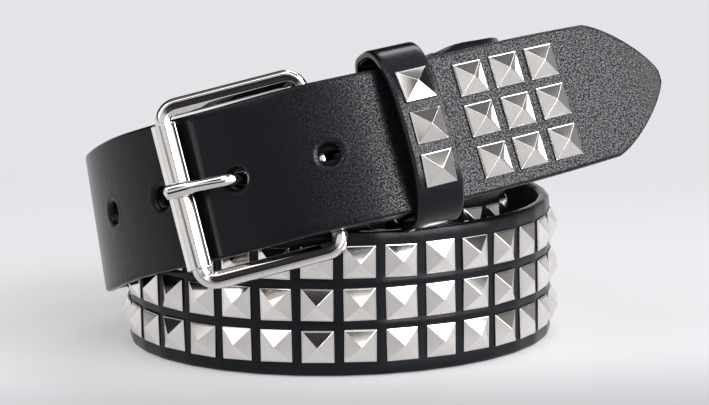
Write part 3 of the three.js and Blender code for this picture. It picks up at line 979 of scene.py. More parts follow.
@dataclass
class Strap:
    """The long leather strap, from the end that is folded back to the point."""

    route: Route
    hole_diameter: float = 5.6
    hole_pitch: float = 25
    hole_count: int = 5
    prong_hole_index: int = 2
    end_to_first_hole: float = 75
    heel_to_prong_hole: float = 22
    heel_to_roller: float = 36.7
    point_length: float = 19.5
    point_taper: float = 0.8
    point_taper_length: float = 36
    nose_width: float = 2.4
    slot_reach: float = 12
    fold_to_studs: float = 75
    studs_to_last_hole: float = 62.3
    stud_pitch: float = 11
    stud_rows: int = 3
    tail_stud_columns: int = 3
    end_to_tail_studs: float = 35
    stud: Stud = field(default_factory=Stud)
    cell: float = 0.55  # width of a fine mesh cell, round the holes
    hole_cells: int = 5  # cells from a hole's middle to its rim
    fine_cells: int = 12  # cells from a hole's middle to where the mesh gets coarser
    wide_cell: float = 1.5  # width of a coarser cell
    edge_radius: float = 0.95
    edge_steps: int = 4
    slot_cells: int = 2
    rim_width: float = 1.05  # of the pressed rim round a hole
    rim_depth: float = 0.6
    lip_height: float = 0.1  # of the low swelling outside that rim
    lip_offset: float = 0.4
    lip_width: float = 0.5
    lip_reach: float = 9  # from a hole's middle to where the swelling has died away
    puff: float = 0.16  # how far the leather swells between studs
    puff_run: float = 0.9  # from a stud's side to where that swelling is full
    puff_fade: Span = (16.5, 18.2)  # from the strap's middle, where it dies away
    dent_depth: float = 0.42  # how far the roller presses the leather in
    dent_width: float = 4.2
    ridge_height: float = 0.3  # of the ridge that rises beside the roller
    ridge_offset: float = 6.4
    ridge_width: float = 1.9
    point_powers: Span = (1.3, 0.7)  # shape of the point, at its shoulder and at its tip
    tip_thickness: float = 0.25  # share of the thickness that is left at the very tip
    relief_depth: float = 0.9  # how far down an edge the relief of the face reaches
    nose_steps: int = 28
    back_cells: int = 3  # coarser cells on each side of the back
    return_cell: float = 3.0  # width of a cell on the end that is folded back
    fold_cell: float = 0.8
    plain_cell: float = 2.4
    stud_cells: int = 8  # cells from one stud to the next
    outline_edges: int = 400  # the outline of the open sheet has more edges than this
    edge_start: Span = (0.25, 0.8)  # depths where the face turns into the painted edge
    edge_end: Span = (2.3, 2.9)
    lining_start: Span = (2.6, 3.0)
    tail_grain: Span = (2, 34)  # from the prong's hole, where the grain gets full
    field_grain: float = 0.22
    smooth_grain: float = 0.02  # of the bare leather past the field
    bend_offset: float = 36  # from the roller back to the creased bend
    bend_width: float = 14
    bend_wrinkle: float = 0.7
    hollow_offset: float = 14  # from the heel on to the creases beside the keeper
    hollow_width: float = 9
    hollow_rows: Span = (2, -14)  # up the strap's width, where those creases begin and are full
    hollow_wrinkle: float = 0.8

    def __post_init__(self) -> None:
        """Works out the places along the strap."""
        route = self.route
        self.tail_heel = route.length_of_turn(route.heel_turn + route.full_turns)
        self.prong_hole = self.tail_heel - self.heel_to_prong_hole
        self.first_hole = self.prong_hole + self.prong_hole_index * self.hole_pitch
        self.length = self.first_hole + self.end_to_first_hole
        self.holes = [self.first_hole - i * self.hole_pitch for i in range(self.hole_count)]
        last_studs = self.holes[-1] - self.studs_to_last_hole
        count = int((last_studs - self.fold_to_studs) / self.stud_pitch) + 1
        self.stud_places = [last_studs - i * self.stud_pitch for i in reversed(range(count))]
        self.row_offsets = [((self.stud_rows - 1) / 2 - i) * self.stud_pitch for i in range(self.stud_rows)]
        self.field_start = self.stud_places[0] - self.stud_pitch / 2
        self.field_end = self.stud_places[-1] + self.stud_pitch / 2
        self.roller_place = self.tail_heel - self.heel_to_roller
        self.ring = self.section()

    def half_width(self, place: float) -> float:
        """Returns half the strap's width: full, then a slight taper, then the point.

        Args:
            place: the place along the strap.

        Returns:
            Half the width there, in millimetres.
        """
        to_end = self.length - place
        taper = clamp((self.point_length + self.point_taper_length - to_end) / self.point_taper_length)
        shoulder = self.route.strap_width / 2 - self.point_taper * taper * taper
        if to_end >= self.point_length:
            return shoulder
        share = 1 - max(0.0, to_end) / self.point_length
        shoulder_power, tip_power = self.point_powers
        return max(self.nose_width / 2, shoulder * (1 - share**shoulder_power) ** tip_power)

    def section(self) -> list[tuple[float, float]]:
        """Returns the section as (across, depth): the face, an edge, the back and the other edge.

        Returns:
            The section's points in order, in millimetres.
        """
        half, deep, r = self.route.strap_width / 2, self.route.thickness, self.edge_radius
        fine, inner, flat = self.fine_cells, self.fine_cells * self.cell, half - r
        coarse = math.ceil((flat - inner) / self.wide_cell)
        outer = [inner + (flat - inner) * k / coarse for k in range(1, coarse + 1)]
        middle = [k * self.cell for k in range(-fine, fine + 1)]
        face = [(x, 0.0) for x in (*[-x for x in reversed(outer)], *middle, *outer)]
        arc = [math.pi / 2 * k / self.edge_steps for k in range(1, self.edge_steps + 1)]
        down = [(flat + r * math.sin(a), -r + r * math.cos(a)) for a in arc]
        under = [(x, -deep - y) for x, y in reversed([(flat, 0.0), *down[:-1]])]
        steps = reversed(range(1, self.back_cells))
        back = [inner + (flat - inner) * k / self.back_cells for k in steps]
        across = [*back, *reversed(middle), *[-x for x in reversed(back)]]
        bottom = [(x, -deep) for x in across]
        side = [(half, -deep + r), *under]
        mirrored = [(-x, y) for x, y in reversed([*down, *side])]
        return [*face, *down, *side, *bottom, *mirrored]

    def columns(self) -> list[float]:
        """Returns the places along the strap where the mesh has a ring.

        Returns:
            The places in order, in millimetres.
        """
        route = self.route
        start = -route.return_length - route.fold_arc
        near = self.fine_cells * self.cell
        shoulder = self.length - self.point_length
        tail: list[float] = []
        apart = 0.01  # keeps the tail's first ring clear of the field's end
        slack = 1.001  # a touch over 1, so that rounding adds no cell
        reached = self.field_end + apart
        for hole in reversed(self.holes):
            tail += even_steps(reached, hole - near, self.wide_cell)
            tail += [hole + k * self.cell for k in range(-self.fine_cells, self.fine_cells)]
            reached = hole + near
        tail += even_steps(reached, shoulder, self.wide_cell)
        turns = [math.pi / 2 * k / self.nose_steps for k in range(self.nose_steps + 1)]
        nose = [shoulder + self.point_length * math.sin(turn) for turn in turns]
        return [
            *even_steps(start, -route.fold_arc, self.return_cell),
            *even_steps(-route.fold_arc, 0.0, self.fold_cell),
            *even_steps(0.0, self.field_start, self.plain_cell),
            *even_steps(self.field_start, self.field_end, self.stud_pitch / self.stud_cells * slack),
            *tail,
            *nose,
        ]

    def nearest_stud(self, place: float) -> float | None:
        """Returns the nearest column of studs in the field, if the place is in the field.

        Args:
            place: the place along the strap.

        Returns:
            The column's place, or None outside the field.
        """
        if not self.field_start <= place <= self.field_end:
            return None
        index = round((place - self.stud_places[0]) / self.stud_pitch)
        return self.stud_places[int(clamp(index, 0, len(self.stud_places) - 1))]

    def station(self, place: float) -> Station:
        """Returns the station at a place, on the chord where the studs hold the strap flat.

        Args:
            place: the place along the strap.

        Returns:
            The station there.
        """
        near = self.nearest_stud(place)
        flat = self.stud.side / 2
        if near is None or abs(place - near) > flat:
            return self.route.strap_station(place)
        return self.chord(near, (place - near) / flat)

    def chord(self, place: float, share: float = 0.0) -> Station:
        """Returns a station on the chord under a column of studs, share from -1 to 1 along it.

        Args:
            place: the column's place.
            share: how far along the chord, 0 in its middle.

        Returns:
            The station there.
        """
        flat = self.stud.side / 2
        before, after = self.route.station_at(place - flat), self.route.station_at(place + flat)
        middle = self.route.station_at(place)
        along = (after.point - before.point).normalized()
        up = (middle.up - along * middle.up.dot(along)).normalized()
        point = before.point.lerp(after.point, (share + 1) / 2)
        return Station(point, along, up, along.cross(up))

    def relief(self, place: float, across: float) -> float:
        """Returns how far the outer face stands above its plain level.

        Args:
            place: the place along the strap.
            across: the place across it.

        Returns:
            The height in millimetres.
        """
        height = 0.0
        for hole in self.holes:
            away = math.hypot(place - hole, across)
            if away < self.lip_reach:
                rim = self.hole_diameter / 2 + self.rim_width
                height -= self.rim_depth * clamp((rim - away) / self.rim_width)
                height += self.lip_height * bell(away, rim + self.lip_offset, self.lip_width)
        near = self.nearest_stud(place)
        half = self.stud.side / 2
        if near is not None:
            beyond = max(abs(place - near) - half, 0.0)
            row = min(self.row_offsets, key=lambda offset: abs(across - offset))
            above = max(abs(across - row) - half, 0.0)
            edge_fade = 1 - smoothstep(*self.puff_fade, abs(across))
            height += self.puff * smoothstep(0.0, self.puff_run, math.hypot(beyond, above)) * edge_fade
        height -= self.dent_depth * bell(place, self.roller_place, self.dent_width)
        height += self.ridge_height * bell(place, self.roller_place + self.ridge_offset, self.ridge_width)
        return height

    def build(self) -> bmesh.types.BMesh:
        """Returns the whole strap in metres, with its holes, slot, UV map and numbers for the finish.

        Returns:
            The strap's mesh, closed all over, about the coil's axis.
        """
        places = self.columns()
        girth = lengths_round(self.ring)
        spans, count = len(places) - 1, len(self.ring)
        bm = bmesh.new()
        bmesh.ops.create_grid(bm, x_segments=spans, y_segments=count, size=1)
        layer = bm.loops.layers.uv.new(FLOW)
        marks = {name: bm.verts.layers.float.new(name) for name in MARKS}
        spot = {v: (round((v.co.x + 1) / 2 * spans), round((v.co.y + 1) / 2 * count)) for v in bm.verts}
        for face in bm.faces:
            for loop in face.loops:
                i, j = spot[loop.vert]
                loop[layer].uv = (places[i] * UV_CM, girth[j] * UV_CM)
        stations = [self.station(place) for place in places]
        shifted = {v: self.round_holes(places[i], *self.ring[j % count]) for v, (i, j) in spot.items()}
        self.cut_openings(bm, spot, places, count)
        for vert in bm.verts:
            i, j = spot[vert]
            place, across = shifted[vert]
            shift = abs(place - places[i])
            station = stations[i] if shift <= TINY else self.route.strap_station(place)
            vert.co = self.moved(station, place, across, j % count) * MM
            for name, value in self.finish_marks(place, j % count).items():
                vert[marks[name]] = value
        self.bridge_openings(bm)
        bmesh.ops.remove_doubles(bm, verts=bm.verts, dist=WELD)
        rims = [e for e in bm.edges if e.is_boundary]
        bmesh.ops.holes_fill(bm, edges=rims, sides=0)
        bmesh.ops.recalc_face_normals(bm, faces=bm.faces)
        return bm

    def moved(self, station: Station, place: float, across: float, index: int) -> Vector:
        """Returns a mesh point whose place across the strap may have been shifted for a hole.

        Args:
            station: the strap's station there.
            place: the point's place along the strap.
            across: its place across the full width.
            index: its number in the section.

        Returns:
            The point in millimetres from the coil's axis.
        """
        depth = self.ring[index][1]
        depth += smoothstep(-self.relief_depth, 0.0, depth) * self.relief(place, across)
        to_end = self.length - place
        if to_end < self.edge_radius:
            squeeze = math.sqrt(max(0.0, 1 - (1 - max(to_end, 0.0) / self.edge_radius) ** 2))
            share = self.tip_thickness + (1 - self.tip_thickness) * squeeze
            depth = -self.route.thickness / 2 + (depth + self.route.thickness / 2) * share
        return station.beside(out=depth, up=across * self.half_width(place) / (self.route.strap_width / 2))

    def round_holes(self, place: float, across: float, depth: float) -> tuple[float, float]:
        """Returns a mesh point's place with the square cells round a hole drawn into circles.

        Args:
            place: the place along the strap.
            across: the place across it.
            depth: the depth, 0 on the face.

        Returns:
            The new places along and across.
        """
        if 0 > depth > -self.route.thickness:
            return place, across
        reach = self.cell * (self.fine_cells - 0.5)
        start = self.cell * self.hole_cells
        for hole in self.holes:
            x, y = place - hole, across
            square = max(abs(x), abs(y))
            if square > reach or square < TINY:
                continue
            share = clamp((square - start) / (reach - start))
            radius = self.hole_diameter / 2 + (reach - self.hole_diameter / 2) * share
            ease = 1 - share
            far = math.hypot(x, y)
            return hole + x + (x / far * radius - x) * ease, y + (y / far * radius - y) * ease
        return place, across

    def cut_openings(
        self,
        bm: bmesh.types.BMesh,
        spot: dict[bmesh.types.BMVert, tuple[int, int]],
        places: Sequence[float],
        count: int,
    ) -> None:
        """Deletes the faces of both sides where a hole or the prong's slot goes through.

        Args:
            bm: the strap's mesh, still a flat grid.
            spot: each point's ring along the strap and its number in the section.
            places: the rings' places along the strap.
            count: how many points the section has.
        """
        slot_end = self.slot_reach
        slot_start = -self.route.fold_arc - self.slot_reach
        hole_half = self.cell * self.hole_cells
        doomed = []
        for face in bm.faces:
            corners = [spot[v] for v in face.verts]
            depths = [self.ring[j % count][1] for _, j in corners]
            if any(0 > d > -self.route.thickness for d in depths):
                continue
            place = sum(places[i] for i, _ in corners) / len(corners)
            across = sum(self.ring[j % count][0] for _, j in corners) / len(corners)
            in_hole = abs(across) < hole_half and any(abs(place - h) < hole_half for h in self.holes)
            in_slot = abs(across) < self.cell * self.slot_cells and slot_start < place < slot_end
            if in_hole or in_slot:
                doomed.append(face)
        bmesh.ops.delete(bm, geom=doomed, context="FACES")

    def bridge_openings(self, bm: bmesh.types.BMesh) -> None:
        """Walls each opening, from the rim in the face to the rim in the back."""
        for loop in self.inner_rims(bm):
            bmesh.ops.bridge_loops(bm, edges=loop)

    def inner_rims(self, bm: bmesh.types.BMesh) -> list[list[bmesh.types.BMEdge]]:
        """Returns the rims of the openings, those of the face and the back of one opening together.

        Args:
            bm: the strap's mesh with its openings cut.

        Returns:
            A list of edges for each opening.
        """
        rims: list[list[bmesh.types.BMEdge]] = []
        unseen = {e for e in bm.edges if e.is_boundary}
        while unseen:
            first = unseen.pop()
            chain, queue = [first], [first]
            while queue:
                for vert in queue.pop().verts:
                    for edge in vert.link_edges:
                        if edge in unseen:
                            unseen.discard(edge)
                            chain.append(edge)
                            queue.append(edge)
            rims.append(chain)
        rims = [rim for rim in rims if len(rim) < self.outline_edges]
        centres = [sum((e.verts[0].co for e in rim), Vector()) / len(rim) for rim in rims]
        pairs = []
        used: set[int] = set()
        for i, rim in enumerate(rims):
            if i in used:
                continue
            others = [j for j in range(len(rims)) if j > i and j not in used and len(rims[j]) == len(rim)]
            if not others:
                continue
            mate = min(others, key=lambda j: (centres[j] - centres[i]).length)
            used.update((i, mate))
            pairs.append([*rim, *rims[mate]])
        return pairs

    def finish_marks(self, place: float, index: int) -> dict[str, float]:
        """Returns the numbers that the finish reads at a mesh point.

        Args:
            place: the point's place along the strap.
            index: its number in the section.

        Returns:
            The numbers by their names.
        """
        across, depth = self.ring[index]
        tail = smoothstep(*(self.prong_hole + beyond for beyond in self.tail_grain), place)
        bend = bell(place, self.roller_place - self.bend_offset, self.bend_width)
        hollow = bell(place, self.tail_heel + self.hollow_offset, self.hollow_width)
        hollow *= smoothstep(*self.hollow_rows, across)
        return {
            "grain": max(tail, self.field_grain if place < self.field_end else self.smooth_grain),
            "edge": smoothstep(*self.edge_start, -depth) * (1 - smoothstep(*self.edge_end, -depth)),
            "lining": smoothstep(*self.lining_start, -depth),
            "wrinkle": max(bend * self.bend_wrinkle, hollow * self.hollow_wrinkle),
        }

    def field_seats(self) -> list[Matrix]:
        """Returns the seats of the studs that are fused to the strap."""
        return [self.chord(place).seat(up=row) for place in self.stud_places for row in self.row_offsets]

    def tail_seats(self) -> dict[str, Matrix]:
        """Returns the seats of the tail's studs by the nodes' names.

        Returns:
            The seats, in millimetres.
        """
        seats = {}
        last = self.length - self.end_to_tail_studs
        for column in range(self.tail_stud_columns):
            place = last - (self.tail_stud_columns - 1 - column) * self.stud_pitch
            for i, row in enumerate(self.row_offsets):
                seats[f"tail_stud_{column + 1}_{i + 1}"] = self.route.station_at(place).seat(up=row)
        return seats


@dataclass
class Buckle:
    """The plated frame with its heel bar, the tube that turns on its front bar, and the prong."""

    strap: Strap
    bar_width: float = 4
    bar_depth: float = 3.6
    front_slope: float = 97  # degrees from outward to the flat front's normal
    front_reach: float = 1.55
    bevel_slope: float = 127  # the same for the inner bevel, which looks into the frame
    bevel_reach: float = 1.72
    inner_power: float = 0.8  # of the section's inner side: 1 is round and less is squarer
    side_swell: float = 0.7  # how much wider than the others the long bars are, on their inner side
    swell_turn: Span = (0.7, 1.0)  # how far a corner has turned where the swell begins and is full
    side_gap: float = 2.3
    drop: float = 0.8
    corner_radius: float = 4.3
    roller_diameter: float = 6.5
    roller_wall: float = 0.85
    roller_overlap: float = 0.2
    roller_seat: float = 0.5
    roller_ease: float = 0.25  # radius of the roller's rounded ends
    seam_width: float = 0.3
    seam_angle: float = 200  # degrees round the roller
    prong_width: float = 3.2
    prong_depth: float = 2.4
    prong_eye_wall: float = 1.5
    prong_clearance: float = 0.45
    prong_overhang: float = 4
    prong_leap: float = 4  # from the eye to where the prong begins to rise
    prong_lean: float = 0.6  # share of a hole's radius that the prong swings by
    prong_power: float = 0.75  # squareness of the section, as the bar's
    prong_crown: float = 1.15  # the same for its ridged top
    paddle_length: float = 8.0
    paddle_run: float = 1.6
    paddle_spread: float = 0.16  # share by which the paddle is wider than the prong
    paddle_press: float = 0.1  # share by which it is thinner
    tip_length: float = 0.7  # of the rounded end
    tip_blunt: float = 0.02  # keeps the tip from closing to a point
    eye_power: float = 0.6
    seat_gap: float = 0.3

    def __post_init__(self) -> None:
        """Works out the plane that the frame lies in."""
        route = self.strap.route
        station = route.station_at(self.strap.roller_place)
        self.roller_centre = station.beside(out=self.roller_seat + self.roller_diameter / 2)
        self.heel = route.heel_centre
        self.up = route.fold_start.out.cross(station.out).normalized()
        if self.up.z < 0:
            self.up.negate()
        between = self.roller_centre - self.heel
        flat = between - self.up * between.dot(self.up)
        self.reach = flat.length
        self.across = flat.normalized()
        self.face = self.up.cross(self.across)
        if self.face.y > 0:
            self.face.negate()
        self.centre = self.heel.lerp(self.roller_centre, 0.5) - self.up * self.drop
        self.half_up = route.strap_width / 2 + self.side_gap + self.bar_width / 2

    def spot(self, across: float, up: float, face: float = 0.0) -> Vector:
        """Returns a point in the frame's own plane.

        Args:
            across: from the heel bar towards the roller.
            up: along those two bars.
            face: out of the plane, towards the viewer.

        Returns:
            The point in millimetres from the coil's axis.
        """
        return self.centre + self.across * across + self.up * up + self.face * face

    def frame_stops(self) -> list[tuple[float, float, float, float]]:
        """Returns the stops round the frame's middle line, each as a place and a way outward.

        Returns:
            For each stop its place across and up, and the across and up parts of its way outward.
        """
        corner_steps, side_steps = 12, 8
        stops: list[tuple[float, float, float, float]] = []
        half_across, r = self.reach / 2, self.corner_radius
        corners = [(1, 1, 0), (-1, 1, 90), (-1, -1, 180), (1, -1, 270)]
        for index, (sx, sy, start) in enumerate(corners):
            ring = []
            for k in range(corner_steps + 1):
                a = math.radians(start + 90 * k / corner_steps)
                x, y = math.cos(a), math.sin(a)
                ring.append((sx * (half_across - r) + r * x, sy * (self.half_up - r) + r * y, x, y))
            nx, ny, after = corners[(index + 1) % 4]
            a = math.radians(after)
            x1 = nx * (half_across - r) + r * math.cos(a)
            y1 = ny * (self.half_up - r) + r * math.sin(a)
            x0, y0, ox, oy = ring[-1]
            straight = [
                (x0 + (x1 - x0) * k / side_steps, y0 + (y1 - y0) * k / side_steps, ox, oy)
                for k in range(1, side_steps)
            ]
            stops += [*ring, *straight]
        return stops

    def build_frame(self) -> bmesh.types.BMesh:
        """Returns the frame: a bar with a flat front, bent to a rectangle with round corners.

        Returns:
            The frame's mesh in metres, about the coil's axis.
        """
        stops, sides = self.frame_stops(), 44

        def place(row: int, column: int) -> Vector:
            """Returns a point of the bar's section at a stop.

            Args:
                row: the number of the stop.
                column: the number of the point round the section.

            Returns:
                The point in millimetres from the coil's axis.
            """
            x, y, ox, oy = stops[row]
            side, face = self.bar_section(2 * math.pi * (column + 0.5) / sides)
            outward = self.across * ox + self.up * oy
            if side < 0:
                side *= 1 + self.side_swell / (self.bar_width / 2) * smoothstep(*self.swell_turn, abs(oy))
            return self.spot(x, y, face) + outward * side

        return wrapped_grid(len(stops), sides, place, close_rows=True)

    def bar_section(self, angle: float) -> tuple[float, float]:
        """Returns a point of the bar's section: outward and towards the viewer, flat on the front.

        Args:
            angle: the angle round the section, in radians.

        Returns:
            The two distances from the bar's middle line.
        """
        c, s = math.cos(angle), math.sin(angle)
        power = 1.0 if c > 0 else self.inner_power
        side = self.bar_width / 2 * signed_power(c, power)
        face = self.bar_depth / 2 * signed_power(s, power)
        for slope, reach in ((self.front_slope, self.front_reach), (self.bevel_slope, self.bevel_reach)):
            nx, ny = math.cos(math.radians(slope)), math.sin(math.radians(slope))
            over = side * nx + face * ny - reach
            if over > 0:
                side, face = side - nx * over, face - ny * over
        return side, face

    def build_roller(self) -> bmesh.types.BMesh:
        """Returns the roller: sheet rolled to a tube, open at a narrow seam, with eased ends.

        Returns:
            The roller's mesh in metres, about the coil's axis.
        """
        half = self.strap.route.strap_width / 2 + self.roller_overlap
        outer, inner = self.roller_diameter / 2, self.roller_diameter / 2 - self.roller_wall
        gap = math.degrees(self.seam_width / outer) / 2
        arc = 56  # steps round the tube
        round_edge = 0.16  # how far the seam's two edges dip
        ease = self.roller_ease
        steps = (half * 0.5, half - ease, half - ease * 0.3, half)
        ends = [*(-step for step in reversed(steps)), 0.0, *steps]
        outline: list[tuple[float, float]] = []
        turns = [self.seam_angle + gap + (360 - 2 * gap) * k / arc for k in range(arc + 1)]
        for k, turn in enumerate(turns):
            dip = round_edge if k in (0, arc) else 0.0
            outline.append((outer - dip, math.radians(turn)))
        outline += [(inner, math.radians(turn)) for turn in reversed(turns)]

        def place(row: int, column: int) -> Vector:
            """Returns a point of the tube.

            Args:
                row: the number of the stop.
                column: the number of the point round the section.

            Returns:
                The point in millimetres from the coil's axis.
            """
            radius, angle = outline[column]
            near_end = half - abs(ends[row])
            if radius > inner:
                radius -= ease * (1 - math.sqrt(max(0.0, 1 - (1 - clamp(near_end / ease)) ** 2)))
            side = self.across * math.cos(angle) + self.across.cross(self.up) * math.sin(angle)
            return self.spot(self.reach / 2, ends[row]) + side * radius

        return wrapped_grid(len(ends), len(outline), place)

    def prong_way(self) -> list[Vector]:
        """Returns the points that the prong's middle line goes through.

        Returns:
            The points from the eye to the tip, in millimetres from the coil's axis.
        """
        route = self.strap.route
        hole = route.station_at(self.strap.prong_hole)
        half = self.prong_depth / 2
        eye_inner = self.bar_width / 2 + self.prong_clearance
        eye_outer = eye_inner + self.prong_eye_wall
        over = self.roller_diameter / 2 + self.seat_gap + half
        radius = self.strap.hole_diameter / 2
        front = self.roller_centre + self.face * over
        return [
            self.heel + self.across * (eye_inner + eye_outer) / 2,
            self.heel + self.across * (eye_outer + self.prong_leap) - self.face * half / 3,
            hole.beside(along=radius * self.prong_lean, out=-route.thickness - half - 2 * self.seat_gap),
            hole.beside(out=-route.thickness / 2),
            hole.beside(along=-radius * self.prong_lean, out=half + 3 * self.seat_gap),
            front,
            front - self.face * self.seat_gap + self.across * self.prong_overhang,
        ]

    def build_prong(self) -> bmesh.types.BMesh:
        """Returns the prong with its eye, ridged along its top and flattened over the roller.

        Returns:
            The prong's mesh in metres, about the coil's axis.
        """
        steps, sides = 64, 20
        way = smooth_way(self.prong_way(), steps)
        total = sum((b - a).length for a, b in zip(way, way[1:]))

        def place(row: int, column: int) -> Vector:
            """Returns a point of the prong's section at a stop.

            Args:
                row: the number of the stop.
                column: the number of the point round the section.

            Returns:
                The point in millimetres from the coil's axis.
            """
            tangent = (way[min(row + 1, steps - 1)] - way[max(row - 1, 0)]).normalized()
            face = self.up.cross(tangent).normalized()
            if face.dot(self.face) < 0:
                face.negate()
            to_tip = total * (1 - row / (steps - 1))
            flat = smoothstep(self.paddle_length, self.paddle_length - self.paddle_run, to_tip)
            close = math.sqrt(max(self.tip_blunt, 1 - (1 - clamp(to_tip / self.tip_length)) ** 2))
            a = 2 * math.pi * (column + 0.5) / sides
            c, s = math.cos(a), math.sin(a)
            width = self.prong_width / 2 * (1 + self.paddle_spread * flat) * close
            lift = self.prong_depth / 2 * (1 - self.paddle_press * flat) * close
            side = width * signed_power(c, self.prong_power)
            rise = lift * signed_power(s, self.prong_power if s < 0 else self.prong_crown)
            return way[row] + self.up * side + face * rise

        prong = wrapped_grid(steps, sides, place)
        add_bmesh(prong, self.build_eye())
        return prong

    def build_eye(self) -> bmesh.types.BMesh:
        """Returns the prong's eye round the heel bar.

        Returns:
            The eye's mesh in metres, about the coil's axis.
        """
        inner = self.bar_width / 2 + self.prong_clearance
        wall, half = self.prong_eye_wall / 2, self.prong_width / 2
        rows, sides = 40, 16

        def place(row: int, column: int) -> Vector:
            """Returns a point of the eye's section at a stop.

            Args:
                row: the number of the stop.
                column: the number of the point round the section.

            Returns:
                The point in millimetres from the coil's axis.
            """
            a = 2 * math.pi * row / rows
            b = 2 * math.pi * (column + 0.5) / sides
            c, s = math.cos(b), math.sin(b)
            radius = inner + wall + wall * signed_power(c, self.eye_power)
            out = self.across * math.cos(a) + self.across.cross(self.up) * math.sin(a)
            return self.heel + out * radius + self.up * half * signed_power(s, self.eye_power)

        return wrapped_grid(rows, sides, place, close_rows=True)


@dataclass
class Keeper:
    """The leather loop that holds the tail down, bowed in front, with three studs."""

    strap: Strap
    heel_to_keeper: float = 26.4
    width: float = 12.8
    thickness: float = 2.3
    side_room: float = 2.5
    lift: float = 0.6
    front_room: float = 6.5
    back_room: float = 1.8
    front_power: float = 2.4
    back_power: float = 5
    edge_radius: float = 0.75
    seat_gap: float = 0.05
    rows: int = 120
    fine: int = 720  # points of the outline that the rows are picked from
    pattern_shift: float = 300  # UV units that take its pattern away from the strap's
    edge_start: Span = (0.5, 0.1)  # from the loop's side, where the painted edge begins
    grain: float = 0.75
    bend_run: float = 5  # below each bend, over which the grain fades
    lower_fade: Span = (-22, -6)  # up the strap's width, over which the grain gets full

    def __post_init__(self) -> None:
        """Works out where the loop stands."""
        route = self.strap.route
        self.station = route.station_at(self.strap.tail_heel + self.heel_to_keeper)
        self.stack = route.thickness + 2 * route.ply_pitch
        self.half_up = route.strap_width / 2 + self.side_room

    def outline(self, angle: float, offset: float) -> tuple[float, float]:
        """Returns a point of the loop, out of the face and up, at a distance outside its inner face.

        Args:
            angle: the angle round the loop, in radians.
            offset: that distance.

        Returns:
            The two distances.
        """
        c, s = math.cos(angle), math.sin(angle)
        front = c >= 0
        power = 2 / (self.front_power if front else self.back_power)
        depth = self.stack / 2 + (self.front_room if front else self.back_room) + offset
        out = depth * signed_power(c, power) - self.stack / 2
        return out, self.lift + (self.half_up + offset) * signed_power(s, power)

    def build(self) -> bmesh.types.BMesh:
        """Returns the loop in metres, with its UV map and numbers for the finish.

        Returns:
            The loop's mesh, about the coil's axis.
        """
        half, r, t = self.width / 2, self.edge_radius, self.thickness
        corner = [math.pi / 2 * k / 4 for k in range(5)]
        quarter = [(half - r + r * math.sin(a), t - r + r * math.cos(a)) for a in corner]
        face = [(half * x, t) for x in (-0.7, -0.45, -0.2, 0.0, 0.2, 0.45, 0.7)]
        edge = [*quarter, *[(x, t - y) for x, y in reversed(quarter)]]
        inside = [(-x, 0.0) for x, _ in face]
        section = [*face, *edge, *inside, *[(-x, y) for x, y in reversed(edge)]]
        angles = [2 * math.pi * k / self.fine for k in range(self.fine)]
        rings = []
        for along, offset in section:
            line = [self.outline(a, offset) for a in angles]
            rings.append([Vector((along, out, up)) for out, up in line])
        guide = [Vector((0.0, *self.outline(a, t))) for a in angles]
        reach = [0.0]
        for a, b in zip(guide, [*guide[1:], guide[0]]):
            reach.append(reach[-1] + (b - a).length)
        picks = [bisect_right(reach, reach[-1] * k / self.rows) - 1 for k in range(self.rows)]
        girth = lengths_round(section)

        def place(row: int, column: int) -> Vector:
            """Returns a point of the loop."""
            p = rings[column][picks[row]]
            return self.station.beside(along=p.x, out=p.y, up=p.z)

        def flow(row: int, column: int) -> tuple[float, float]:
            """Returns the UV place of a point of the loop."""
            return reach[-1] * row / self.rows * UV_CM + self.pattern_shift, girth[column] * UV_CM

        bm = wrapped_grid(self.rows, len(section), place, flow, close_rows=True)
        marks = {name: bm.verts.layers.float.new(name) for name in MARKS}
        for vert in bm.verts:
            local = vert.co / MM - self.station.point
            along, up = abs(local.dot(self.station.along)), local.dot(self.station.up)
            below_bend = 1 - smoothstep(self.half_up - self.bend_run, self.half_up, abs(up - self.lift))
            vert[marks["edge"]] = smoothstep(*(half - inset for inset in self.edge_start), along)
            vert[marks["grain"]] = self.grain * below_bend * smoothstep(*self.lower_fade, up)
        return bm

    def stud_seats(self) -> dict[str, Matrix]:
        """Returns the seats of the loop's studs by the nodes' names.

        Returns:
            The seats, in millimetres.
        """
        seats = {}
        half = self.strap.stud.side / 2
        for i, offset in enumerate(self.strap.row_offsets):
            row = self.lift + offset
            low, high = (Vector((0, *reversed(self.front_point(u)))) for u in (row - half, row + half))
            up = (high - low).normalized()
            out = Vector((1, 0, 0)).cross(up)
            here = self.front_point(row)
            tilt = Matrix(
                [
                    (1, 0, 0, 0),
                    (0, up.y, out.y, here[1]),
                    (0, up.z, out.z, here[0] + self.seat_gap),
                    (0, 0, 0, 1),
                ]
            )
            seats[f"keeper_stud_{i + 1}"] = self.station.seat() @ tilt
        return seats

    def front_point(self, up: float) -> tuple[float, float]:
        """Returns the point of the loop's outer front at a height, as (out, up).

        Args:
            up: the height up the strap's width.

        Returns:
            The point's two distances.
        """
        share = (up - self.lift) / (self.half_up + self.thickness)
        angle = math.copysign(math.asin(abs(share) ** (self.front_power / 2)), share)
        return self.outline(angle, self.thickness)


@dataclass(frozen=True)
class SoftBox:
    """A soft light in the surroundings, whose four edges each fade over a span in degrees."""

    west: Span
    east: Span
    low: Span
    high: Span
    strength: float = 1.0

    def shape(self, azimuth: Wire, height: Wire) -> Wire:
        """Returns 1 inside the box and 0 outside it."""
        beside = azimuth.step(*self.west) * azimuth.step(*reversed(self.east))
        return beside * height.step(*self.low) * height.step(*reversed(self.high))

    def light(self, azimuth: Wire, height: Wire) -> Wire:
        """Returns the light that comes from a direction."""
        return self.shape(azimuth, height) * self.strength


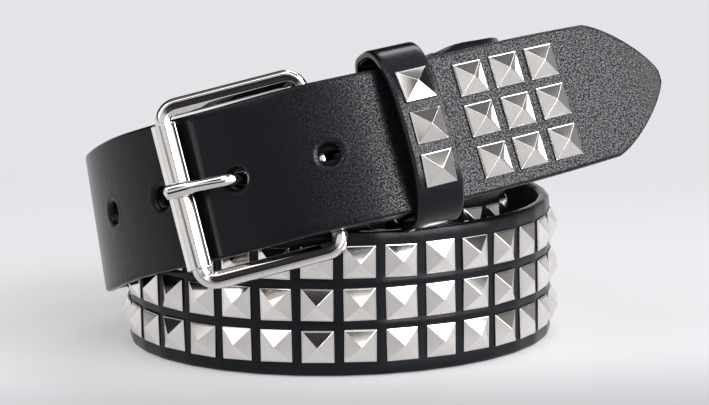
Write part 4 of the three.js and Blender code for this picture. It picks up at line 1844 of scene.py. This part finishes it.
@dataclass
class Studio:
    """The pale floor, the camera and the light that surrounds the belt."""

    axis: Vector  # the coil's axis, in metres
    camera_back: float = 758
    camera_height: float = 161.2
    focal: float = 140.55
    sensor: float = 36
    pitch: float = 9.38
    yaw: float = 0.35
    roll: float = -1.08
    floor_size: float = 9.0  # metres
    floor_gap: float = 0.0002  # metres that it lies below the belt
    floor_colour: Triple = (0.34, 0.34, 0.35)
    # The floor's glow is painted light. It fills in the floor's shadows and paints its falloff, set by the
    # glow and span fields below.
    glow_near: float = 0.07  # the floor's own light in front of the belt
    glow_beside: float = 0.38
    glow_far: float = 0.26
    glow_wings: float = 0.14
    front_depth: Span = (-0.11, -0.02)  # metres, as are the floor's other spans
    back_depth: Span = (0.02, 0.3)
    wings_side: Span = (0.1, 0.2)
    wings_depth: Span = (0.05, -0.05)
    away_side: Span = (0.25, 0.55)
    away_depth: Span = (-0.3, 0.0)
    clip: Span = (0.05, 50.0)  # metres
    right_box: SoftBox = SoftBox((0, 12), (68, 86), (-12, 2), (60, 70), 8.6)
    right_gap: SoftBox = SoftBox((-30, -28), (19, 25), (-30, -28), (28, 34))
    right_lean: float = 0.2  # how steeply the right box's upper edge falls
    right_top: Span = (40, 29)
    front_card: SoftBox = SoftBox((-60, -40), (11, 17), (13, 18), (24, 29), 0.78)
    side_card: SoftBox = SoftBox((60, 75), (132, 150), (-12, 2), (20, 29), 0.3)
    high_box: SoftBox = SoftBox((68, 78), (108, 118), (43, 48), (57, 62), 6.0)
    left_box: SoftBox = SoftBox((-96, -72), (-32, -20), (17, 30), (52, 64), 2.4)
    left_wall: SoftBox = SoftBox((-140, -120), (-50, -14), (-60, -50), (8, 18), 0.8)
    overhead: SoftBox = SoftBox((-50, -30), (20, 60), (44, 51), (84, 89), 1.7)
    rear_strip: SoftBox = SoftBox((130, 142), (178, 181), (44, 49), (58, 66), 6.5)
    zenith: float = 1.4
    zenith_span: Span = (80, 85)
    ceiling: float = 0.13
    ceiling_span: Span = (48, 60)
    back_wall: float = 1.1
    back_wall_top: Span = (16, 4)
    all_but_back: SoftBox = SoftBox((-150, -132), (132, 150), (-99, -98), (98, 99))
    dimmest: float = 0.02

    def build(self) -> None:
        """Makes the floor, the camera and the surroundings."""
        self.make_floor()
        self.make_camera()
        self.make_surroundings()
        bpy.context.scene.view_settings.view_transform = "Standard"

    def make_floor(self) -> None:
        """Lays a wide floor under the belt, lit by the lamps and by its own glow, which is painted light.
        """
        bm = bmesh.new()
        bmesh.ops.create_grid(bm, x_segments=4, y_segments=4, size=self.floor_size / 2)
        mesh = bpy.data.meshes.new("floor")
        bm.to_mesh(mesh)
        bm.free()
        material, g = new_material("pale_floor")
        place = g.node("ShaderNodeTexCoord").outputs["Object"]
        split = g.node("ShaderNodeSeparateXYZ", None, {0: place})
        side, depth = g.wire(split, 0), g.wire(split, 1)
        wings = side.math("ABSOLUTE").step(*self.wings_side) * depth.step(*self.wings_depth)
        away = side.step(*self.away_side) * depth.step(*self.away_depth)
        # Painted light and shade on the floor: dim in front, brightest beside the belt, a little dimmer far
        # behind, lighter at the sides in front and darker far off to the right.
        glow = self.glow_near + depth.step(*self.front_depth) * (self.glow_beside - self.glow_near)
        glow = glow - depth.step(*self.back_depth) * (self.glow_beside - self.glow_far)
        glow = glow + wings * self.glow_wings - away * self.glow_far
        lit = g.node("ShaderNodeBsdfDiffuse", None, {"Color": (*self.floor_colour, 1)})
        own = g.node("ShaderNodeEmission", None, {"Color": SOFT_WHITE, "Strength": glow})
        both = g.node("ShaderNodeAddShader", None, {0: lit.outputs[0], 1: own.outputs[0]})
        g.node("ShaderNodeOutputMaterial", None, {"Surface": both.outputs[0]})
        mesh.materials.append(material)
        floor = bpy.data.objects.new("floor", mesh)
        floor.location = (0, 0, -self.floor_gap)
        bpy.context.scene.collection.objects.link(floor)

    def make_camera(self) -> None:
        """Puts the camera where the photograph was taken from."""
        pitch, yaw, roll = (math.radians(a) for a in (self.pitch, self.yaw, self.roll))
        ahead = Vector((math.sin(yaw) * math.cos(pitch), math.cos(yaw) * math.cos(pitch), -math.sin(pitch)))
        right = Vector((math.cos(yaw), -math.sin(yaw), 0))
        above = right.cross(ahead)
        x = right * math.cos(roll) + above * math.sin(roll)
        y = above * math.cos(roll) - right * math.sin(roll)
        data = bpy.data.cameras.new("camera")
        data.lens, data.sensor_width = self.focal, self.sensor
        data.clip_start, data.clip_end = self.clip
        camera = bpy.data.objects.new("camera", data)
        place = self.axis + Vector((0, -self.camera_back, self.camera_height)) * MM
        rows = [(x[i], y[i], -ahead[i], place[i]) for i in range(3)]
        camera.matrix_world = Matrix([*rows, (0, 0, 0, 1)])
        bpy.context.scene.collection.objects.link(camera)
        bpy.context.scene.camera = camera

    def make_surroundings(self) -> None:
        """Paints soft boxes, dark cards and pale walls by direction, for light and reflections."""
        world = bpy.data.worlds.new("studio")
        world.use_nodes = True
        bpy.context.scene.world = world
        g = Graph(world.node_tree)
        ray = g.node("ShaderNodeTexCoord").outputs["Generated"]
        split = g.node("ShaderNodeSeparateXYZ", None, {0: ray})
        x, y, z = (g.wire(split, i) for i in range(3))
        azimuth = g.math("ARCTAN2", x, y * -1) * (180 / math.pi)
        height = z.math("ARCSINE") * (180 / math.pi)

        tilted = height - azimuth * self.right_lean
        light = self.right_box.shape(azimuth, height) * tilted.step(*self.right_top)
        light = light * (1 - self.right_gap.shape(azimuth, height)) * self.right_box.strength
        for box in (self.front_card, self.side_card, self.high_box, self.left_box, self.left_wall):
            light = light + box.light(azimuth, height)
        light = light + self.overhead.light(azimuth, height)
        light = light + height.step(*self.zenith_span) * self.zenith
        light = light + self.rear_strip.light(azimuth, height)
        light = light + height.step(*self.ceiling_span) * self.ceiling
        behind = 1 - self.all_but_back.shape(azimuth, height)
        light = light + behind * height.step(*self.back_wall_top) * self.back_wall + self.dimmest
        sky = g.node("ShaderNodeBackground", None, {"Color": SOFT_WHITE, "Strength": light})
        g.node("ShaderNodeOutputWorld", None, {"Surface": sky.outputs[0]})


def main() -> None:
    """Builds the belt round its frame and reports each piece."""
    logging.basicConfig(level=logging.INFO, format="%(name)s: %(message)s")
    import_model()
    dice = random.Random(SEED)
    route = Route()
    strap = Strap(route)
    buckle = Buckle(strap)
    keeper = Keeper(strap)

    low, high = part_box("buckle_roller")
    axis = (low + high) / 2 - buckle.spot(buckle.reach / 2, 0) * MM
    LOG.info("coil axis at %s", tuple(round(a, 5) for a in axis))
    Studio(axis).build()

    leather = Leather().material("strap_leather")
    keeper_leather = Leather(gloss=0.42, gloss_roughness=0.2).material("keeper_leather")
    buckle_nickel = Nickel().material("buckle_nickel")
    stud_nickel = Nickel(roughness=0.11, ripple=0.007).material("stud_nickel")
    shift = Matrix.Translation(axis)

    def add(name: str, bm: bmesh.types.BMesh, *rest: object, **more: object) -> None:
        """Moves a mesh from the coil's axis to its place in the row frame and finishes the piece.

        Args:
            name: the piece's name.
            bm: its mesh.
            rest: what finish_piece is given after them.
            more: what finish_piece is given by name.
        """
        bm.transform(shift)
        finish_piece(name, bm, *rest, **more)

    add("strap_body", strap.build(), leather, Body.BELT, Slot.STRAP, ["strap"])
    studs = strap.stud.placed(strap.field_seats(), strap.stud.fused_sink, dice)
    add("field_studs", studs, stud_nickel, Body.BELT, Slot.STUD, weigh_normals=True)
    add("keeper_band", keeper.build(), keeper_leather, Body.BELT, Slot.KEEPER, ["keeper_loop"])
    for name, seat in {**keeper.stud_seats(), **strap.tail_seats()}.items():
        one = strap.stud.placed([seat], strap.stud.single_sink, dice)
        add(f"{name}_plated", one, stud_nickel, Body.BELT, Slot.STUD, [name], weigh_normals=True)
    frame = buckle.build_frame()
    add("frame_bar", frame, buckle_nickel, Body.BELT, Slot.BUCKLE, ["buckle_frame"], weigh_normals=True)
    add("prong_bar", buckle.build_prong(), buckle_nickel, Body.BELT, Slot.BUCKLE, ["buckle_prong"])
    roller = buckle.build_roller()
    stands_for = ["buckle_roller"]
    add("roller_tube", roller, buckle_nickel, Body.ROLLER, Slot.BUCKLE, stands_for, weigh_normals=True)


if __name__ == "__main__":
    main()
